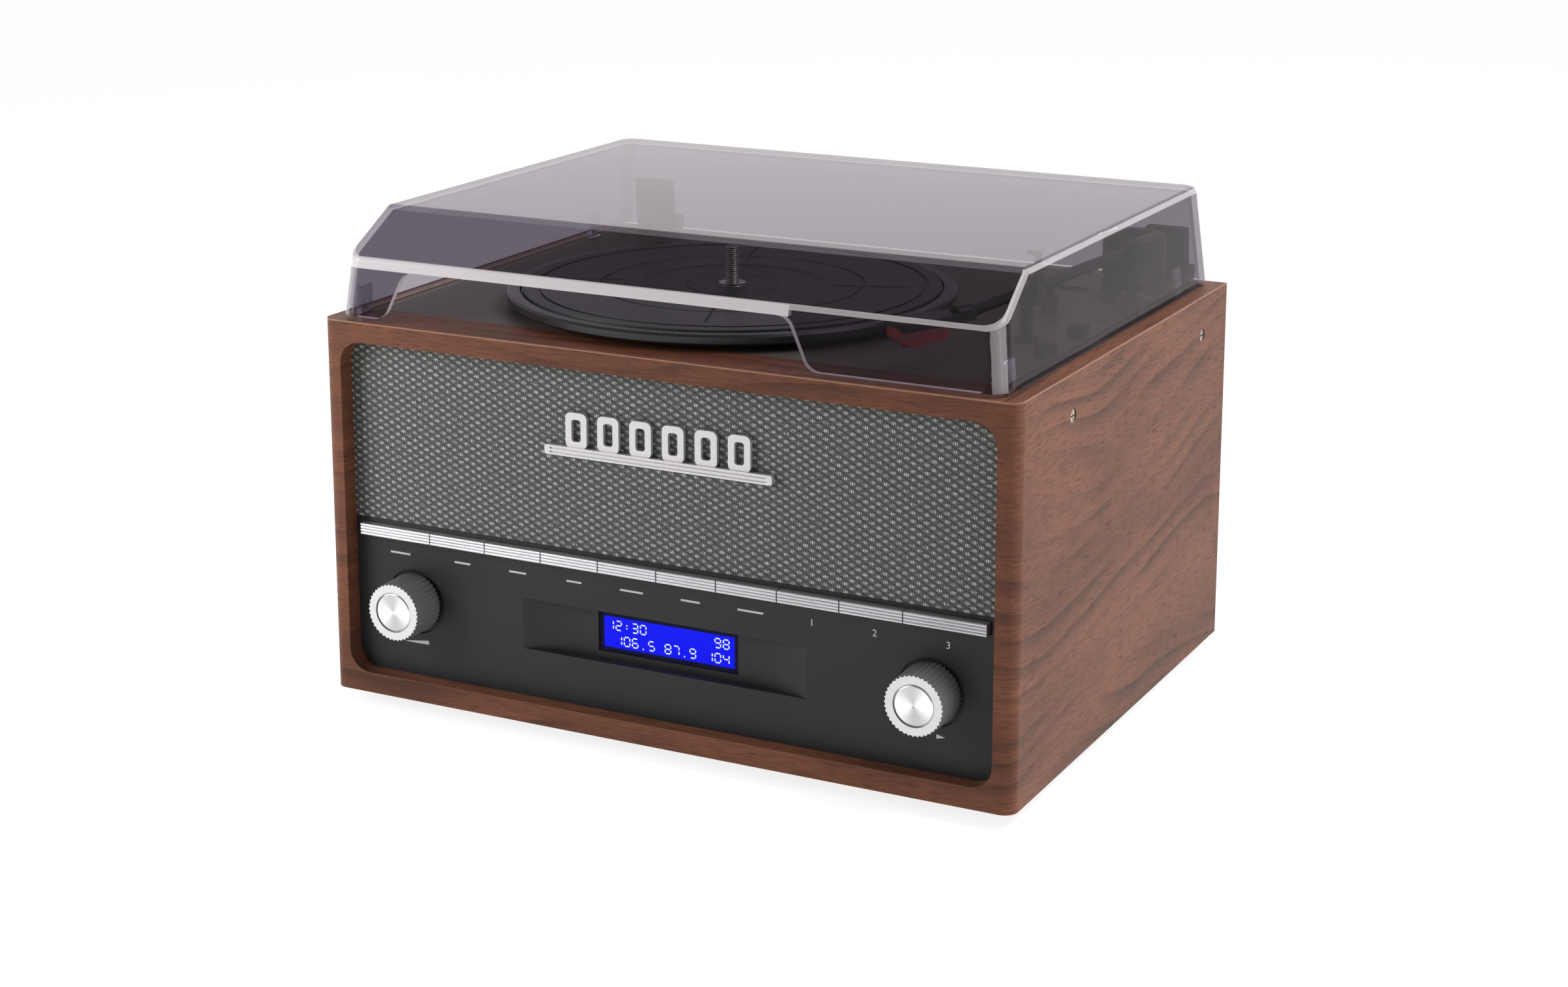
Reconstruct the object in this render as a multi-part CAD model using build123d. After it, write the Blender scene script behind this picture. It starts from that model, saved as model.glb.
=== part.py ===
"""Stereo music centre: a wooden table cabinet with a cloth-fronted pair of loudspeakers, a control
panel, and a belt-driven record player under a hinged dust cover.

Millimetres, +Z up, the front faces -Y. The pieces are drawn from the cabinet's own corner of
reference: x = 0 in the middle of the width, y = 0 on the front face of the wood, z = 0 under the
bottom board. The loop at the end moves them all so that the origin lies under the middle of the
whole object, on the surface that its feet stand on.
"""
from build123d import *
from math import cos, pi, radians, sin, sqrt
import os

os.makedirs("parts", exist_ok=True)

# ------------------------------------------------------------------ driving sizes
# Wooden cabinet
cabinet_width = 380.0
cabinet_depth = 290.0
cabinet_height = 196.0
board = 9.0                    # thickness of every wooden board
front_edge_radius = 7.0        # rounding of the two upright front edges
frame_border = 10.5            # wood seen around the front opening
opening_radius = 12.0
front_strip = 29.0             # depth of the wooden strip in front of the deck
rear_rail = 12.0
panel_recess = 9.5             # how far the cloth and the control panel lie back
cleat = 12.0                   # square strips that the back is screwed to
fit = 0.3                      # gap all round a piece that is set into a frame

# Feet and screws
foot_height = 8.5
foot_radius = 10.5
foot_inset_x = 26.0
foot_inset_y = 30.0
wood_screw_radius = 1.75
wood_screw_head = 3.4
wood_screw_length = 14.0
side_screw_radius = 2.0
side_screw_head = 3.3
side_screw_length = 19.0
side_screw_sink = 3.0          # depth of the counterbore in the side board
side_screw_front = 66.5        # y of the front pair
side_screw_rear = 251.5        # y of the rear pair
side_screw_drop = 21.0         # below the top of the cabinet
side_boss_length = 13.0
side_boss_half = 7.0

# Back
back_thickness = 3.0
back_inset = 1.0
vent_width = 2.5
vent_height = 34.0
vent_pitch = 7.0
vent_count = 9

# Control panel
panel_thickness = 3.0
panel_top = 91.3               # where the cloth begins
post_radius = 2.5
post_inset = 70.0              # from the side of the cabinet to the outer posts
post_drop = 16.5               # below the panel's upper edge
switch_board_drop = 20.0       # height of the switch board behind the panel
button_count = 10
button_margin = 5.4            # wood edge to the row of buttons, each side
end_button_width = 42.5
button_height = 6.1
button_centre_z = 86.0
button_stand = 4.2             # how far a button stands out of the panel
button_gap = 0.6
button_travel = 1.0
button_clearance = 0.3
rib_count = 4
rib_depth = 0.7
window_width = 78.5
window_height = 20.4
window_centre_z = 49.1
window_thickness = 1.5
scoop_width = 159.0
scoop_floor = 96.0             # flat length in the middle of the scoop
scoop_height = 26.4
scoop_centre_z = 48.6
scoop_depth = 6.3
scoop_skin = 2.0
display_width = 92.0
display_height = 34.0
display_depth = 7.0
circuit_board = 1.6

# Rotary knobs
knob_inset = 45.6              # from the side of the cabinet to each knob's axis
knob_z = 49.9
knob_radius = 14.9
knob_base_radius = 15.6
knob_length = 19.5
knob_gap = 0.6
knob_teeth = 40
tooth_depth = 0.8
cap_radius = 10.0
cap_sink = 1.2
shaft_radius = 3.0
bush_radius = 5.0
running = 0.05                 # radial clearance of every running fit
near = 0.3                     # gap between pieces that pass close to each other
well_radius = 17.2
well_depth = 1.5
pot_size = 18.0
pot_depth = 12.0
rotor_radius = 6.9
rotor_front = 2.1              # depths of the detent wheel behind the panel
rotor_back = 5.9
tune_travel = 0.8              # how far the tuning knob can be pressed
shaft_short = 2.0              # shafts end this far before the back of their housings

# Loudspeakers, cloth and badge
cloth_thickness = 1.2
baffle_thickness = 8.0
speaker_inset = 98.0           # from the side of the cabinet to each speaker's axis
speaker_radius = 39.0
speaker_hole = 34.0
speaker_depth = 30.0
magnet_radius = 22.0
magnet_depth = 12.0
flange_thickness = 2.0
surround = 1.2
coil_radius = 9.0
cone_depth = 14.0
badge_width = 125.6
badge_height = 4.8
badge_thickness = 3.0
badge_z = 142.3
badge_groove = 0.8
ornament_count = 6
ornament_pitch = 18.0
ornament_width = 12.0
ornament_height = 18.0
ornament_stroke = 3.4
ornament_thickness = 2.2
badge_pin_radius = 1.2

# Deck and turntable
deck_thickness = 3.0
deck_drop = 0.4                # top of the deck below the wood
deck_gap = 0.4
spindle_inset = 166.2          # from the left side of the cabinet
spindle_set_back = 100.0       # behind the front strip
spindle_radius = 3.58
spindle_top = 29.5             # this and the turntable heights count from the top of the wood
collar_radius = 7.2
collar_height = 1.2
platter_radius = 116.3
platter_rim = 6.5
platter_bottom = 3.6
platter_lip = 9.0
platter_seat = 7.5
platter_web = 1.8
inner_platter_web = 1.5
mat_top = 9.8
mat_gap = 0.5
mat_groove = 0.7
mat_outer_ring = 100.8
mat_inner_ring = 68.3
label_radius = 48.2
centre_ring = 24.0
ring_width = 2.4
slot_inner = 53.0
slot_outer = 92.0
slot_width = 1.6
slot_turn = 20.0
hub_radius = 12.0
drive_ring_radius = 79.0
drive_ring_wall = 3.0
bearing_radius = 8.0
bearing_flange = 16.0
bearing_depth = 30.0
bearing_rise = 1.0             # sleeve's end above the top of the wood
hub_clearance = 0.4
well_floor_depth = 2.0         # the deck dips under the platter, round the ring and the pulley
well_room = 5.0                # round the drive ring
well_lobe = 15.0               # round the motor's shaft
well_wall = 2.0
pulley_radius = 5.5
pulley_flange = 7.0
pulley_distance = 92.0
pulley_turn = 135.0            # direction of the motor from the spindle, in degrees
belt_low = -1.0
belt_high = 2.4
belt_guide = 0.6               # thickness of the pulley's flanges
ring_skirt = 0.4               # drive ring below the belt
belt_thickness = 1.2
belt_gap = 0.1
motor_radius = 16.0
motor_height = 22.0
motor_shaft = 1.5
adapter_inset = 68.0           # from the left side of the cabinet
adapter_set_forward = 62.0     # from the back of the cabinet
adapter_radius = 19.0
adapter_height = 2.0
adapter_boss = 5.5
adapter_boss_height = 5.0
adapter_peg = 3.4

# Tonearm
pivot_inset = 33.0             # from the right side of the cabinet
pivot_set_forward = 55.0       # from the back of the cabinet
arm_turn = 5.9                 # the tube leans this far towards the record at rest
arm_reach = 178.3              # pivot to the neck of the headshell
head_turn = 22.0               # offset of the headshell
head_length = 38.0             # neck to stylus
arm_height = 25.0
tube_radius = 3.0
pedestal_radius = 17.0
pedestal_top = 12.0
gimbal_top = 34.0
gimbal_slot = 13.0
pivot_pin = 1.5
turret_shaft = 4.0
lift_radius = 62.0
lift_travel = 5.0
lift_width = 4.0
lift_thickness = 2.5
lift_stem = 2.0
lift_lead = 4.0                # degrees that the lift bar runs past the arm at rest
lift_sweep = 42.0
rest_distance = 118.0
lever_inset = 20.0             # from the right side of the cabinet
lever_ahead = 37.0             # in front of the arm's pivot
lever_length = 26.0
lever_width = 4.0
switch_inset = 25.0            # from the right side of the cabinet
speed_ahead = 142.0            # in front of the arm's pivot
stop_ahead = 99.0
switch_travel = 6.0

# Dust cover
lid_wall = 3.0
lid_side_inset = 8.5           # the cover's rim inside the cabinet's side
lid_front = 2.5
lid_rear_gap = 3.0
lid_lift = 2.2                 # gap between the wood and the rim
lid_height = 53.3
lid_crease = 31.7              # height of the fold between front wall and slope
lid_slope_end = 40.0           # y where the slope meets the top
lid_draft = 0.1                # inward lean of the walls, per unit of height
lid_corner = 9.5
lid_fold_radius = 3.5
lid_inner_fold = 1.2
cutout_left_inset = 36.0       # from the side of the cabinet, at the rim
cutout_right_inset = 107.0
cutout_left_lean = 11.0        # each end leans inwards by this much
cutout_right_lean = 12.0
cutout_top = 27.0
cutout_radius = 9.0
bumper_length = 10.0
bumper_height = 15.0
bumper_thickness = 3.0
bumper_front = 14.0
bumper_rear = 240.0

# Hinges
hinge_inset = 32.0             # from the side of the cabinet to a hinge's middle
hinge_width = 22.0
hinge_set_back = 5.0           # axis behind the cabinet
hinge_rise = 3.5               # axis above the wood
hinge_barrel = 3.8
hinge_pin = 1.6
hinge_side_gap = 0.3
hinge_plate = 2.2
hinge_grip = 27.0              # how far the leaf reaches up the rear wall
hinge_base_drop = 26.0

# ------------------------------------------------------------------ sizes that follow
inner_half = cabinet_width / 2 - board
top = cabinet_height
deck_top = top - deck_drop
deck_bottom = deck_top - deck_thickness
panel_back = panel_recess + panel_thickness
baffle_front = panel_recess + cloth_thickness
baffle_back = baffle_front + baffle_thickness
back_outside = cabinet_depth - back_inset
back_inside = back_outside - back_thickness
half_width = cabinet_width / 2
button_row = cabinet_width - 2 * frame_border - 2 * button_margin
button_pitch = (button_row - 2 * end_button_width) / (button_count - 2)
knob_spread = half_width - knob_inset
speaker_spread = half_width - speaker_inset
knob_base = panel_recess - knob_gap
knob_face = knob_base - knob_length
front_reach = -knob_face
hinge_y = cabinet_depth + hinge_set_back
hinge_z = top + hinge_rise
rear_reach = hinge_set_back + hinge_barrel
middle_y = (cabinet_depth + rear_reach - front_reach) / 2
board_y = panel_back + 9.5     # front of the button circuit board
lid_rim = top + lid_lift
lid_top = top + lid_height
lid_rear = cabinet_depth - lid_rear_gap
lid_half_width = half_width - lid_side_inset
cutout_left_low = cutout_left_inset - half_width
cutout_left_high = cutout_left_low + cutout_left_lean
cutout_right_low = half_width - cutout_right_inset
cutout_right_high = cutout_right_low - cutout_right_lean
hinge_centre = half_width - hinge_inset
spindle_x = spindle_inset - half_width
spindle_y = front_strip + spindle_set_back
adapter_x = adapter_inset - half_width
adapter_y = cabinet_depth - adapter_set_forward
pivot_x = half_width - pivot_inset
pivot_y = cabinet_depth - pivot_set_forward
lever_x = half_width - lever_inset
lever_y = pivot_y - lever_ahead
switch_x = half_width - switch_inset
speed_y = pivot_y - speed_ahead
stop_y = pivot_y - stop_ahead
well_floor = deck_top - well_floor_depth
well_under = deck_bottom - well_floor_depth


# ------------------------------------------------------------------ small builders
def block(x, y, z):
    """A box given by its lowest and highest x, y and z."""
    size = (x[1] - x[0], y[1] - y[0], z[1] - z[0])
    return Pos((x[0] + x[1]) / 2, (y[0] + y[1]) / 2, (z[0] + z[1]) / 2) * Box(*size)


def upright(radius, x, y, low, high):
    """A cylinder along Z."""
    return Pos(x, y, (low + high) / 2) * Cylinder(radius, high - low)


def forward(radius, x, z, front, back):
    """A cylinder along Y."""
    return Pos(x, (front + back) / 2, z) * Rot(90, 0, 0) * Cylinder(radius, back - front)


def across(radius, y, z, left, right):
    """A cylinder along X."""
    return Pos((left + right) / 2, y, z) * Rot(0, 90, 0) * Cylinder(radius, right - left)


def turned(x, y, profile):
    """A solid of revolution about an upright axis, from (radius, z) corners."""
    outline = Plane.XZ * make_face(Polyline(*profile, close=True))
    return Pos(x, y, 0) * revolve(outline, Axis.Z)


def side_prism(x, profile):
    """A solid along X between x[0] and x[1], from (y, z) corners."""
    face = Plane.YZ * make_face(Polyline(*profile, close=True))
    return Pos(x[0], 0, 0) * extrude(face, x[1] - x[0])


def front_prism(y, sketch):
    """A solid from y[0] back to y[1], from a sketch in x and z."""
    return Pos(0, y[1], 0) * extrude(Plane.XZ * sketch, y[1] - y[0])


def plan_prism(z, sketch):
    """A solid between z[0] and z[1], from a sketch in x and y."""
    return Pos(0, 0, z[0]) * extrude(sketch, z[1] - z[0])


def both_sides(piece):
    """The piece and its mirror image across the middle."""
    return Compound([piece, mirror(piece, Plane.YZ)])


def arm_point(distance, turn=0.0, sideways=0.0):
    """Plan position on the arm's line, turned inwards from rest, offset to its outer side."""
    angle = radians(arm_turn + turn)
    x = pivot_x - distance * sin(angle) + sideways * cos(angle)
    y = pivot_y - distance * cos(angle) - sideways * sin(angle)
    return x, y


def on_arm(shape):
    """Moves a shape drawn along -Y from the origin onto the arm's line at rest."""
    return Pos(pivot_x, pivot_y, 0) * Rot(0, 0, -arm_turn) * shape


def on_head(shape):
    """Moves a shape drawn along -Y from the origin onto the headshell's line."""
    neck_x, neck_y = arm_point(arm_reach)
    return Pos(neck_x, neck_y, 0) * Rot(0, 0, -arm_turn - head_turn) * shape


nodes = {}


# ------------------------------------------------------------------ wooden cabinet
def side_screw_places():
    return [(y, top - side_screw_drop) for y in (side_screw_front, side_screw_rear)]


def foot_places():
    x = cabinet_width / 2 - foot_inset_x
    return [(sx * x, y) for sx in (-1, 1) for y in (foot_inset_y, cabinet_depth - foot_inset_y)]


def back_screw_places():
    x = inner_half - cleat / 2
    low = board + cleat
    high = top - board - cleat
    return [(sx * x, z) for sx in (-1, 1) for z in (low, (low + high) / 2, high)]


def cabinet_shell():
    half = cabinet_width / 2
    shell = block((-half, half), (0, cabinet_depth), (0, top))
    upright_edges = shell.edges().filter_by(Axis.Z).group_by(Axis.Y)[0]
    shell = fillet(upright_edges, front_edge_radius)
    shell -= block((-inner_half, inner_half), (panel_recess, cabinet_depth), (board, top - board))
    shell -= block((-inner_half, inner_half), (front_strip, cabinet_depth - rear_rail), (board, top))
    opening = RectangleRounded(cabinet_width - 2 * frame_border, top - 2 * frame_border, opening_radius)
    shell -= front_prism((0, panel_recess), Pos(0, top / 2) * opening)
    for side in (-1, 1):
        x = sorted((side * inner_half, side * (inner_half - cleat)))
        shell += block(x, (back_inside - cleat, back_inside), (board, top - board))
        for y, z in side_screw_places():
            outside = sorted((side * half, side * (half - side_screw_sink)))
            through = sorted((side * half, side * inner_half))
            shell -= across(side_screw_head + fit, y, z, *outside)
            shell -= across(side_screw_radius + running, y, z, *through)
    for x, z in back_screw_places():
        depth = wood_screw_length - back_thickness
        shell -= forward(wood_screw_radius, x, z, back_inside - depth, back_inside)
    for x, y in foot_places():
        shell -= upright(wood_screw_radius, x, y, 0, board - 1)
    return shell


def rubber_feet():
    feet = []
    for x, y in foot_places():
        foot = turned(x, y, [(0, -foot_height), (foot_radius - 1.2, -foot_height),
                             (foot_radius - 0.2, -foot_height + 1), (foot_radius, 0), (0, 0)])
        foot -= upright(wood_screw_head + fit, x, y, -foot_height, -3)
        foot -= upright(wood_screw_radius + fit, x, y, -3, 0)
        feet.append(foot)
    return Compound(feet)


def wood_screw(length):
    """A countersunk screw with its head's face at z = 0, pointing along -Z."""
    outline = [(0, 0), (wood_screw_head, 0), (wood_screw_head, -0.8), (wood_screw_radius, -2.2),
               (wood_screw_radius, -length + 2), (0, -length)]
    return turned(0, 0, outline)


def case_screws():
    screws = []
    for x, z in back_screw_places():
        screws.append(Pos(x, back_outside + 0.8, z) * Rot(-90, 0, 0) * wood_screw(wood_screw_length))
    for x, y in foot_places():
        screws.append(Pos(x, y, -5.2) * Rot(180, 0, 0) * wood_screw(wood_screw_length - 1))
    return Compound(screws)


def side_screws():
    screws = []
    for y, z in side_screw_places():
        head_out = cabinet_width / 2 - 0.6
        head_in = cabinet_width / 2 - side_screw_sink
        screw = across(side_screw_head, y, z, head_in, head_out)
        screw += across(side_screw_radius, y, z, head_in - side_screw_length + 2.4, head_in)
        screw -= block((head_out - 1.2, head_out), (y - 2.2, y + 2.2), (z - 0.45, z + 0.45))
        screw -= block((head_out - 1.2, head_out), (y - 0.45, y + 0.45), (z - 2.2, z + 2.2))
        screws += [screw, mirror(screw, Plane.YZ)]
    return Compound(screws)


# ------------------------------------------------------------------ back of the cabinet
socket_inset = 72.0            # from the side of the cabinet
socket_x = socket_inset - half_width
socket_z = 52.0
socket_pitch = 18.0
socket_plate_width = 66.0
socket_plate_height = 26.0
phono_radius = 4.15
phono_bore = 1.6
phono_length = 8.0
aerial_radius = 4.7
inlet_inset = 62.0             # from the side of the cabinet
inlet_x = half_width - inlet_inset
inlet_z = 44.0
inlet_half_width = 8.2
inlet_half_height = 4.0
inlet_depth = 14.0
inlet_wall = 2.5
inlet_pin_pitch = 8.6
inlet_pin_radius = 1.15


def back_panel():
    panel = block((-inner_half + fit, inner_half - fit), (back_inside, back_outside),
                  (board + fit, top - board - fit))
    for x, z in back_screw_places():
        panel -= forward(wood_screw_head + 0.1, x, z, back_outside - 0.1, back_outside)
        panel -= forward(wood_screw_radius + 1.7, x, z, back_inside, back_outside)
    for side in (-1, 1):
        for i in range(vent_count):
            x = side * (18 + i * vent_pitch)
            slot = Pos(x, top / 2 + 26) * SlotOverall(vent_height, vent_width, rotation=90)
            panel -= front_prism((back_inside, back_outside), slot)
    half_w = socket_plate_width / 2 - 4
    half_h = socket_plate_height / 2 - 4
    panel -= block((socket_x - half_w, socket_x + half_w), (back_inside, back_outside),
                   (socket_z - half_h, socket_z + half_h))
    half_w = inlet_half_width + inlet_wall + 0.1
    half_h = inlet_half_height + inlet_wall + 0.1
    panel -= block((inlet_x - half_w, inlet_x + half_w), (back_inside, back_outside),
                   (inlet_z - half_h, inlet_z + half_h))
    return panel


def rear_sockets():
    """Line-out pair and aerial connector on one moulded plate."""
    plate = front_prism((back_outside, back_outside + 1.5),
                        Pos(socket_x, socket_z) * RectangleRounded(socket_plate_width, socket_plate_height, 3))
    half_w = socket_plate_width / 2 - 4.2
    half_h = socket_plate_height / 2 - 4.2
    plate += block((socket_x - half_w, socket_x + half_w), (back_inside - 6, back_outside),
                   (socket_z - half_h, socket_z + half_h))
    face = back_outside + 1.5
    for place in (0, 1):
        x = socket_x - socket_pitch + place * socket_pitch
        plate += forward(phono_radius, x, socket_z, face, face + phono_length - 1.5)
        plate -= forward(phono_bore, x, socket_z, face - 5, face + phono_length - 1.5)
    x = socket_x + socket_pitch
    plate += forward(aerial_radius, x, socket_z, face, face + phono_length - 1.5)
    plate -= forward(phono_bore, x, socket_z, face - 5, face + phono_length - 1.5)
    return plate


def mains_inlet():
    """Two-pin inlet, its mouth flush with the back."""
    outer = Pos(inlet_x, inlet_z) * RectangleRounded(2 * (inlet_half_width + inlet_wall),
                                                     2 * (inlet_half_height + inlet_wall), 2)
    flange = Pos(inlet_x, inlet_z) * RectangleRounded(2 * inlet_half_width + 14,
                                                      2 * inlet_half_height + 9, 2.5)
    mouth = Pos(inlet_x, inlet_z) * SlotOverall(2 * inlet_half_width, 2 * inlet_half_height)
    face = back_outside + 1.2
    body = front_prism((face - inlet_depth - 3, face), outer)
    body += front_prism((back_outside, face), flange)
    body -= front_prism((face - inlet_depth, face), mouth)
    for side in (-1, 1):
        x = inlet_x + side * inlet_pin_pitch / 2
        body += forward(inlet_pin_radius, x, inlet_z, face - inlet_depth - 1, face - 2)
    return body


# ------------------------------------------------------------------ control panel
def button_layout():
    """Left edge and right edge of each button, gaps taken off."""
    edges = [-button_row / 2, -button_row / 2 + end_button_width]
    for _ in range(button_count - 2):
        edges.append(edges[-1] + button_pitch)
    edges.append(button_row / 2)
    return [(edges[i] + button_gap / 2, edges[i + 1] - button_gap / 2) for i in range(button_count)]


def post_places():
    outer = half_width - post_inset
    return [(outer * share, panel_top - post_drop) for share in (-1, -1 / 3, 1 / 3, 1)]


def front_panel():
    panel = block((-inner_half + fit, inner_half - fit), (panel_recess, panel_back),
                  (board + fit, panel_top))
    pan_x = scoop_width / 2 + scoop_skin
    pan_z = scoop_height / 2 + scoop_skin
    pan_back = panel_recess + scoop_depth + scoop_skin
    panel += block((-pan_x, pan_x), (panel_back, pan_back), (scoop_centre_z - pan_z, scoop_centre_z + pan_z))
    for x, z in post_places():
        panel += forward(post_radius, x, z, panel_back, board_y)
    half = scoop_width / 2
    flat = scoop_floor / 2
    floor = panel_recess + scoop_depth
    bend_x = (half + flat) / 2
    bend_y = floor - scoop_depth / 4
    ahead = panel_recess - 1
    edge = Polyline((-half, panel_recess), (-half, ahead), (half, ahead), (half, panel_recess))
    edge += ThreePointArc((half, panel_recess), (bend_x, bend_y), (flat, floor))
    edge += Line((flat, floor), (-flat, floor))
    edge += ThreePointArc((-flat, floor), (-bend_x, bend_y), (-half, panel_recess))
    scoop_z = (scoop_centre_z - scoop_height / 2, scoop_centre_z + scoop_height / 2)
    panel -= plan_prism(scoop_z, make_face(edge))
    win_x = window_width / 2 + 0.1
    win_z = window_height / 2 + 0.1
    panel -= block((-win_x, win_x), (panel_recess, pan_back), (window_centre_z - win_z, window_centre_z + win_z))
    row = button_row / 2 + button_clearance
    low = button_centre_z - button_height / 2 - button_clearance
    high = button_centre_z + button_height / 2 + button_clearance
    panel -= block((-row, row), (panel_recess, panel_back), (low, high))
    for side in (-1, 1):
        panel -= forward(well_radius, side * knob_spread, knob_z, panel_recess, panel_recess + well_depth)
        panel -= forward(bush_radius + 0.1, side * knob_spread, knob_z, panel_recess, panel_back)
    return panel


def button(left, right):
    """One bar button: ribbed cap, retaining flange and the stem that works the switch."""
    low = button_centre_z - button_height / 2
    high = button_centre_z + button_height / 2
    face = panel_recess - button_stand
    pitch = button_height / rib_count
    outline = Polyline((face, low), (panel_back, low), (panel_back, high), (face, high))
    for i in range(rib_count):
        top_z = high - i * pitch
        outline += ThreePointArc((face, top_z), (face - rib_depth, top_z - pitch / 2), (face, top_z - pitch))
    cap = Pos(left, 0, 0) * extrude(Plane.YZ * make_face(outline), right - left)
    flange_front = panel_back + button_clearance
    middle = (left + right) / 2
    cap += block((middle - 6, middle + 6), (panel_back, flange_front), (low + 1, high - 1))
    cap += block((left + 1, right - 1), (flange_front, flange_front + 1.2), (low - 1.2, high + 1.2))
    stem_end = board_y - 2.5 - button_travel - 0.2
    cap += forward(1.8, middle, button_centre_z, flange_front + 1.2, stem_end)
    return cap


def button_board():
    z = (panel_top - switch_board_drop, panel_top - 0.8)
    circuit = block((-button_row / 2, button_row / 2), (board_y, board_y + circuit_board), z)
    for left, right in button_layout():
        x = (left + right) / 2
        circuit += block((x - 3, x + 3), (board_y - 2, board_y), (button_centre_z - 3, button_centre_z + 3))
        circuit += forward(1.5, x, button_centre_z, board_y - 2.5, board_y - 2)
    return circuit


def lcd_window():
    y = panel_recess + scoop_depth - 0.3
    half = window_width / 2
    high = window_height / 2
    return block((-half, half), (y, y + window_thickness), (window_centre_z - high, window_centre_z + high))


def lcd_module():
    glass_back = panel_recess + scoop_depth - 0.3 + window_thickness
    pan_back = panel_recess + scoop_depth + scoop_skin
    half = display_width / 2
    high = display_height / 2
    frame = block((-half, half), (pan_back, pan_back + display_depth),
                  (window_centre_z - high, window_centre_z + high))
    frame += block((-window_width / 2, window_width / 2), (glass_back, pan_back),
                   (window_centre_z - window_height / 2, window_centre_z + window_height / 2))
    return frame


# ------------------------------------------------------------------ rotary knobs
def serrated(radius, y):
    """Wire of the toothed rim, in the upright plane at y."""
    points = []
    for i in range(2 * knob_teeth):
        r = radius - (i % 2) * tooth_depth
        angle = pi * i / knob_teeth
        points.append((r * cos(angle), y, r * sin(angle)))
    return make_face(Polyline(*points, close=True))


def knob(x):
    body = loft([serrated(knob_base_radius, knob_base), serrated(knob_radius, knob_face)], ruled=True)
    body -= forward(cap_radius + 0.5, 0, 0, knob_face, knob_face + cap_sink)
    body -= forward(knob_base_radius - 3, 0, 0, knob_base - 8, knob_base)
    body += forward(shaft_radius + 2.5, 0, 0, knob_base - 8, knob_base - 1)
    body -= forward(shaft_radius, 0, 0, knob_base - 12, knob_base)
    shaft_end = panel_back + pot_depth - shaft_short
    shaft = forward(shaft_radius, 0, 0, knob_base - 12, shaft_end)
    return Pos(x, 0, knob_z) * Compound([body, shaft])


def knob_cap(x):
    """Slightly dished disc let into the knob's face."""
    outline = [(0, 0), (cap_radius, 0), (cap_radius, cap_sink - 0.5), (cap_radius - 0.6, cap_sink - 0.1),
               (0, cap_sink - 0.4)]
    disc = turned(0, 0, outline)
    return Pos(x, knob_face + cap_sink, knob_z) * Rot(90, 0, 0) * disc


def volume_pot():
    half = pot_size / 2
    body = block((-half, half), (panel_back, panel_back + pot_depth), (-half, half))
    body += forward(bush_radius, 0, 0, panel_recess + well_depth, panel_back)
    body -= forward(shaft_radius + running, 0, 0, panel_recess, panel_back + pot_depth - shaft_short)
    return Pos(-knob_spread, 0, knob_z) * body


def tune_encoder():
    half = pot_size / 2
    body = block((-half, half), (panel_back, panel_back + pot_depth), (-half, half))
    body += forward(bush_radius, 0, 0, panel_recess + well_depth, panel_back)
    bore_end = panel_back + pot_depth - shaft_short + tune_travel + near
    body -= forward(shaft_radius + running, 0, 0, panel_recess, bore_end)
    body -= forward(rotor_radius + running, 0, 0, panel_back + rotor_front - running, panel_back + rotor_back + running)
    return Pos(knob_spread, 0, knob_z) * body


def tune_rotor():
    """Detent wheel inside the encoder; the shaft slides through it when pressed."""
    span = (panel_back + rotor_front, panel_back + rotor_back)
    ring = forward(rotor_radius, 0, 0, *span) - forward(shaft_radius + running, 0, 0, *span)
    return Pos(knob_spread, 0, knob_z) * ring


# ------------------------------------------------------------------ cloth, baffle, speakers, badge
def speaker_z():
    return (panel_top + top - board) / 2


def speaker_baffle():
    wood = block((-inner_half + fit, inner_half - fit), (baffle_front, baffle_back),
                 (panel_top + 0.2, top - board - fit))
    for side in (-1, 1):
        wood -= forward(speaker_hole, side * speaker_spread, speaker_z(), baffle_front, baffle_back)
    return wood


def grille_cloth():
    return block((-inner_half + fit, inner_half - fit), (panel_recess, baffle_front),
                 (panel_top + 0.2, top - board - fit))


def speaker(side):
    """Pressed basket with its magnet, and the cone that sits in it."""
    magnet_front = speaker_depth - magnet_depth
    seat = speaker_radius - 7
    basket = [(speaker_radius, 0), (speaker_radius, flange_thickness), (speaker_radius - 4, flange_thickness),
              (magnet_radius + 2, magnet_front), (magnet_radius, magnet_front), (magnet_radius, speaker_depth),
              (0, speaker_depth), (0, magnet_front + 1), (magnet_radius - 2, magnet_front + 1),
              (seat, flange_thickness), (seat, 0)]
    cone = [(seat, 0), (seat, surround), (seat - 2, surround), (coil_radius, cone_depth),
            (coil_radius, magnet_front + 1), (0, magnet_front + 1), (0, cone_depth - 2),
            (coil_radius - 1, cone_depth - 1.5), (seat - 2.6, 0)]
    solids = [Rot(-90, 0, 0) * turned(0, 0, outline) for outline in (basket, cone)]
    return Pos(side * speaker_spread, baffle_back, speaker_z()) * Compound(solids)


def badge_bar():
    """Plain bar with two long grooves and a row of plain open frames, on three pins."""
    back = panel_recess - 0.6
    front = back - badge_thickness
    half = badge_width / 2
    bar = front_prism((front, back), Pos(0, badge_z) * RectangleRounded(badge_width, badge_height, 1.2))
    for side in (-1, 1):
        z = badge_z + side * badge_height / 5
        bar -= block((-half + 3, half - 3), (front, front + badge_groove), (z - 0.45, z + 0.45))
    outline = RectangleRounded(ornament_width, ornament_height, 3)
    slot = RectangleRounded(ornament_width - 2 * ornament_stroke, ornament_height - 2 * ornament_stroke, 1.5)
    middle_z = badge_z + badge_height / 2 - 0.5 + ornament_height / 2
    for i in range(ornament_count):
        x = (i - (ornament_count - 1) / 2) * ornament_pitch
        bar += front_prism((back - ornament_thickness, back), Pos(x, middle_z) * (outline - slot))
    for x in (-half * 0.6, 0, half * 0.6):
        bar += forward(badge_pin_radius, x, badge_z, back, panel_recess)
    return bar


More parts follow.
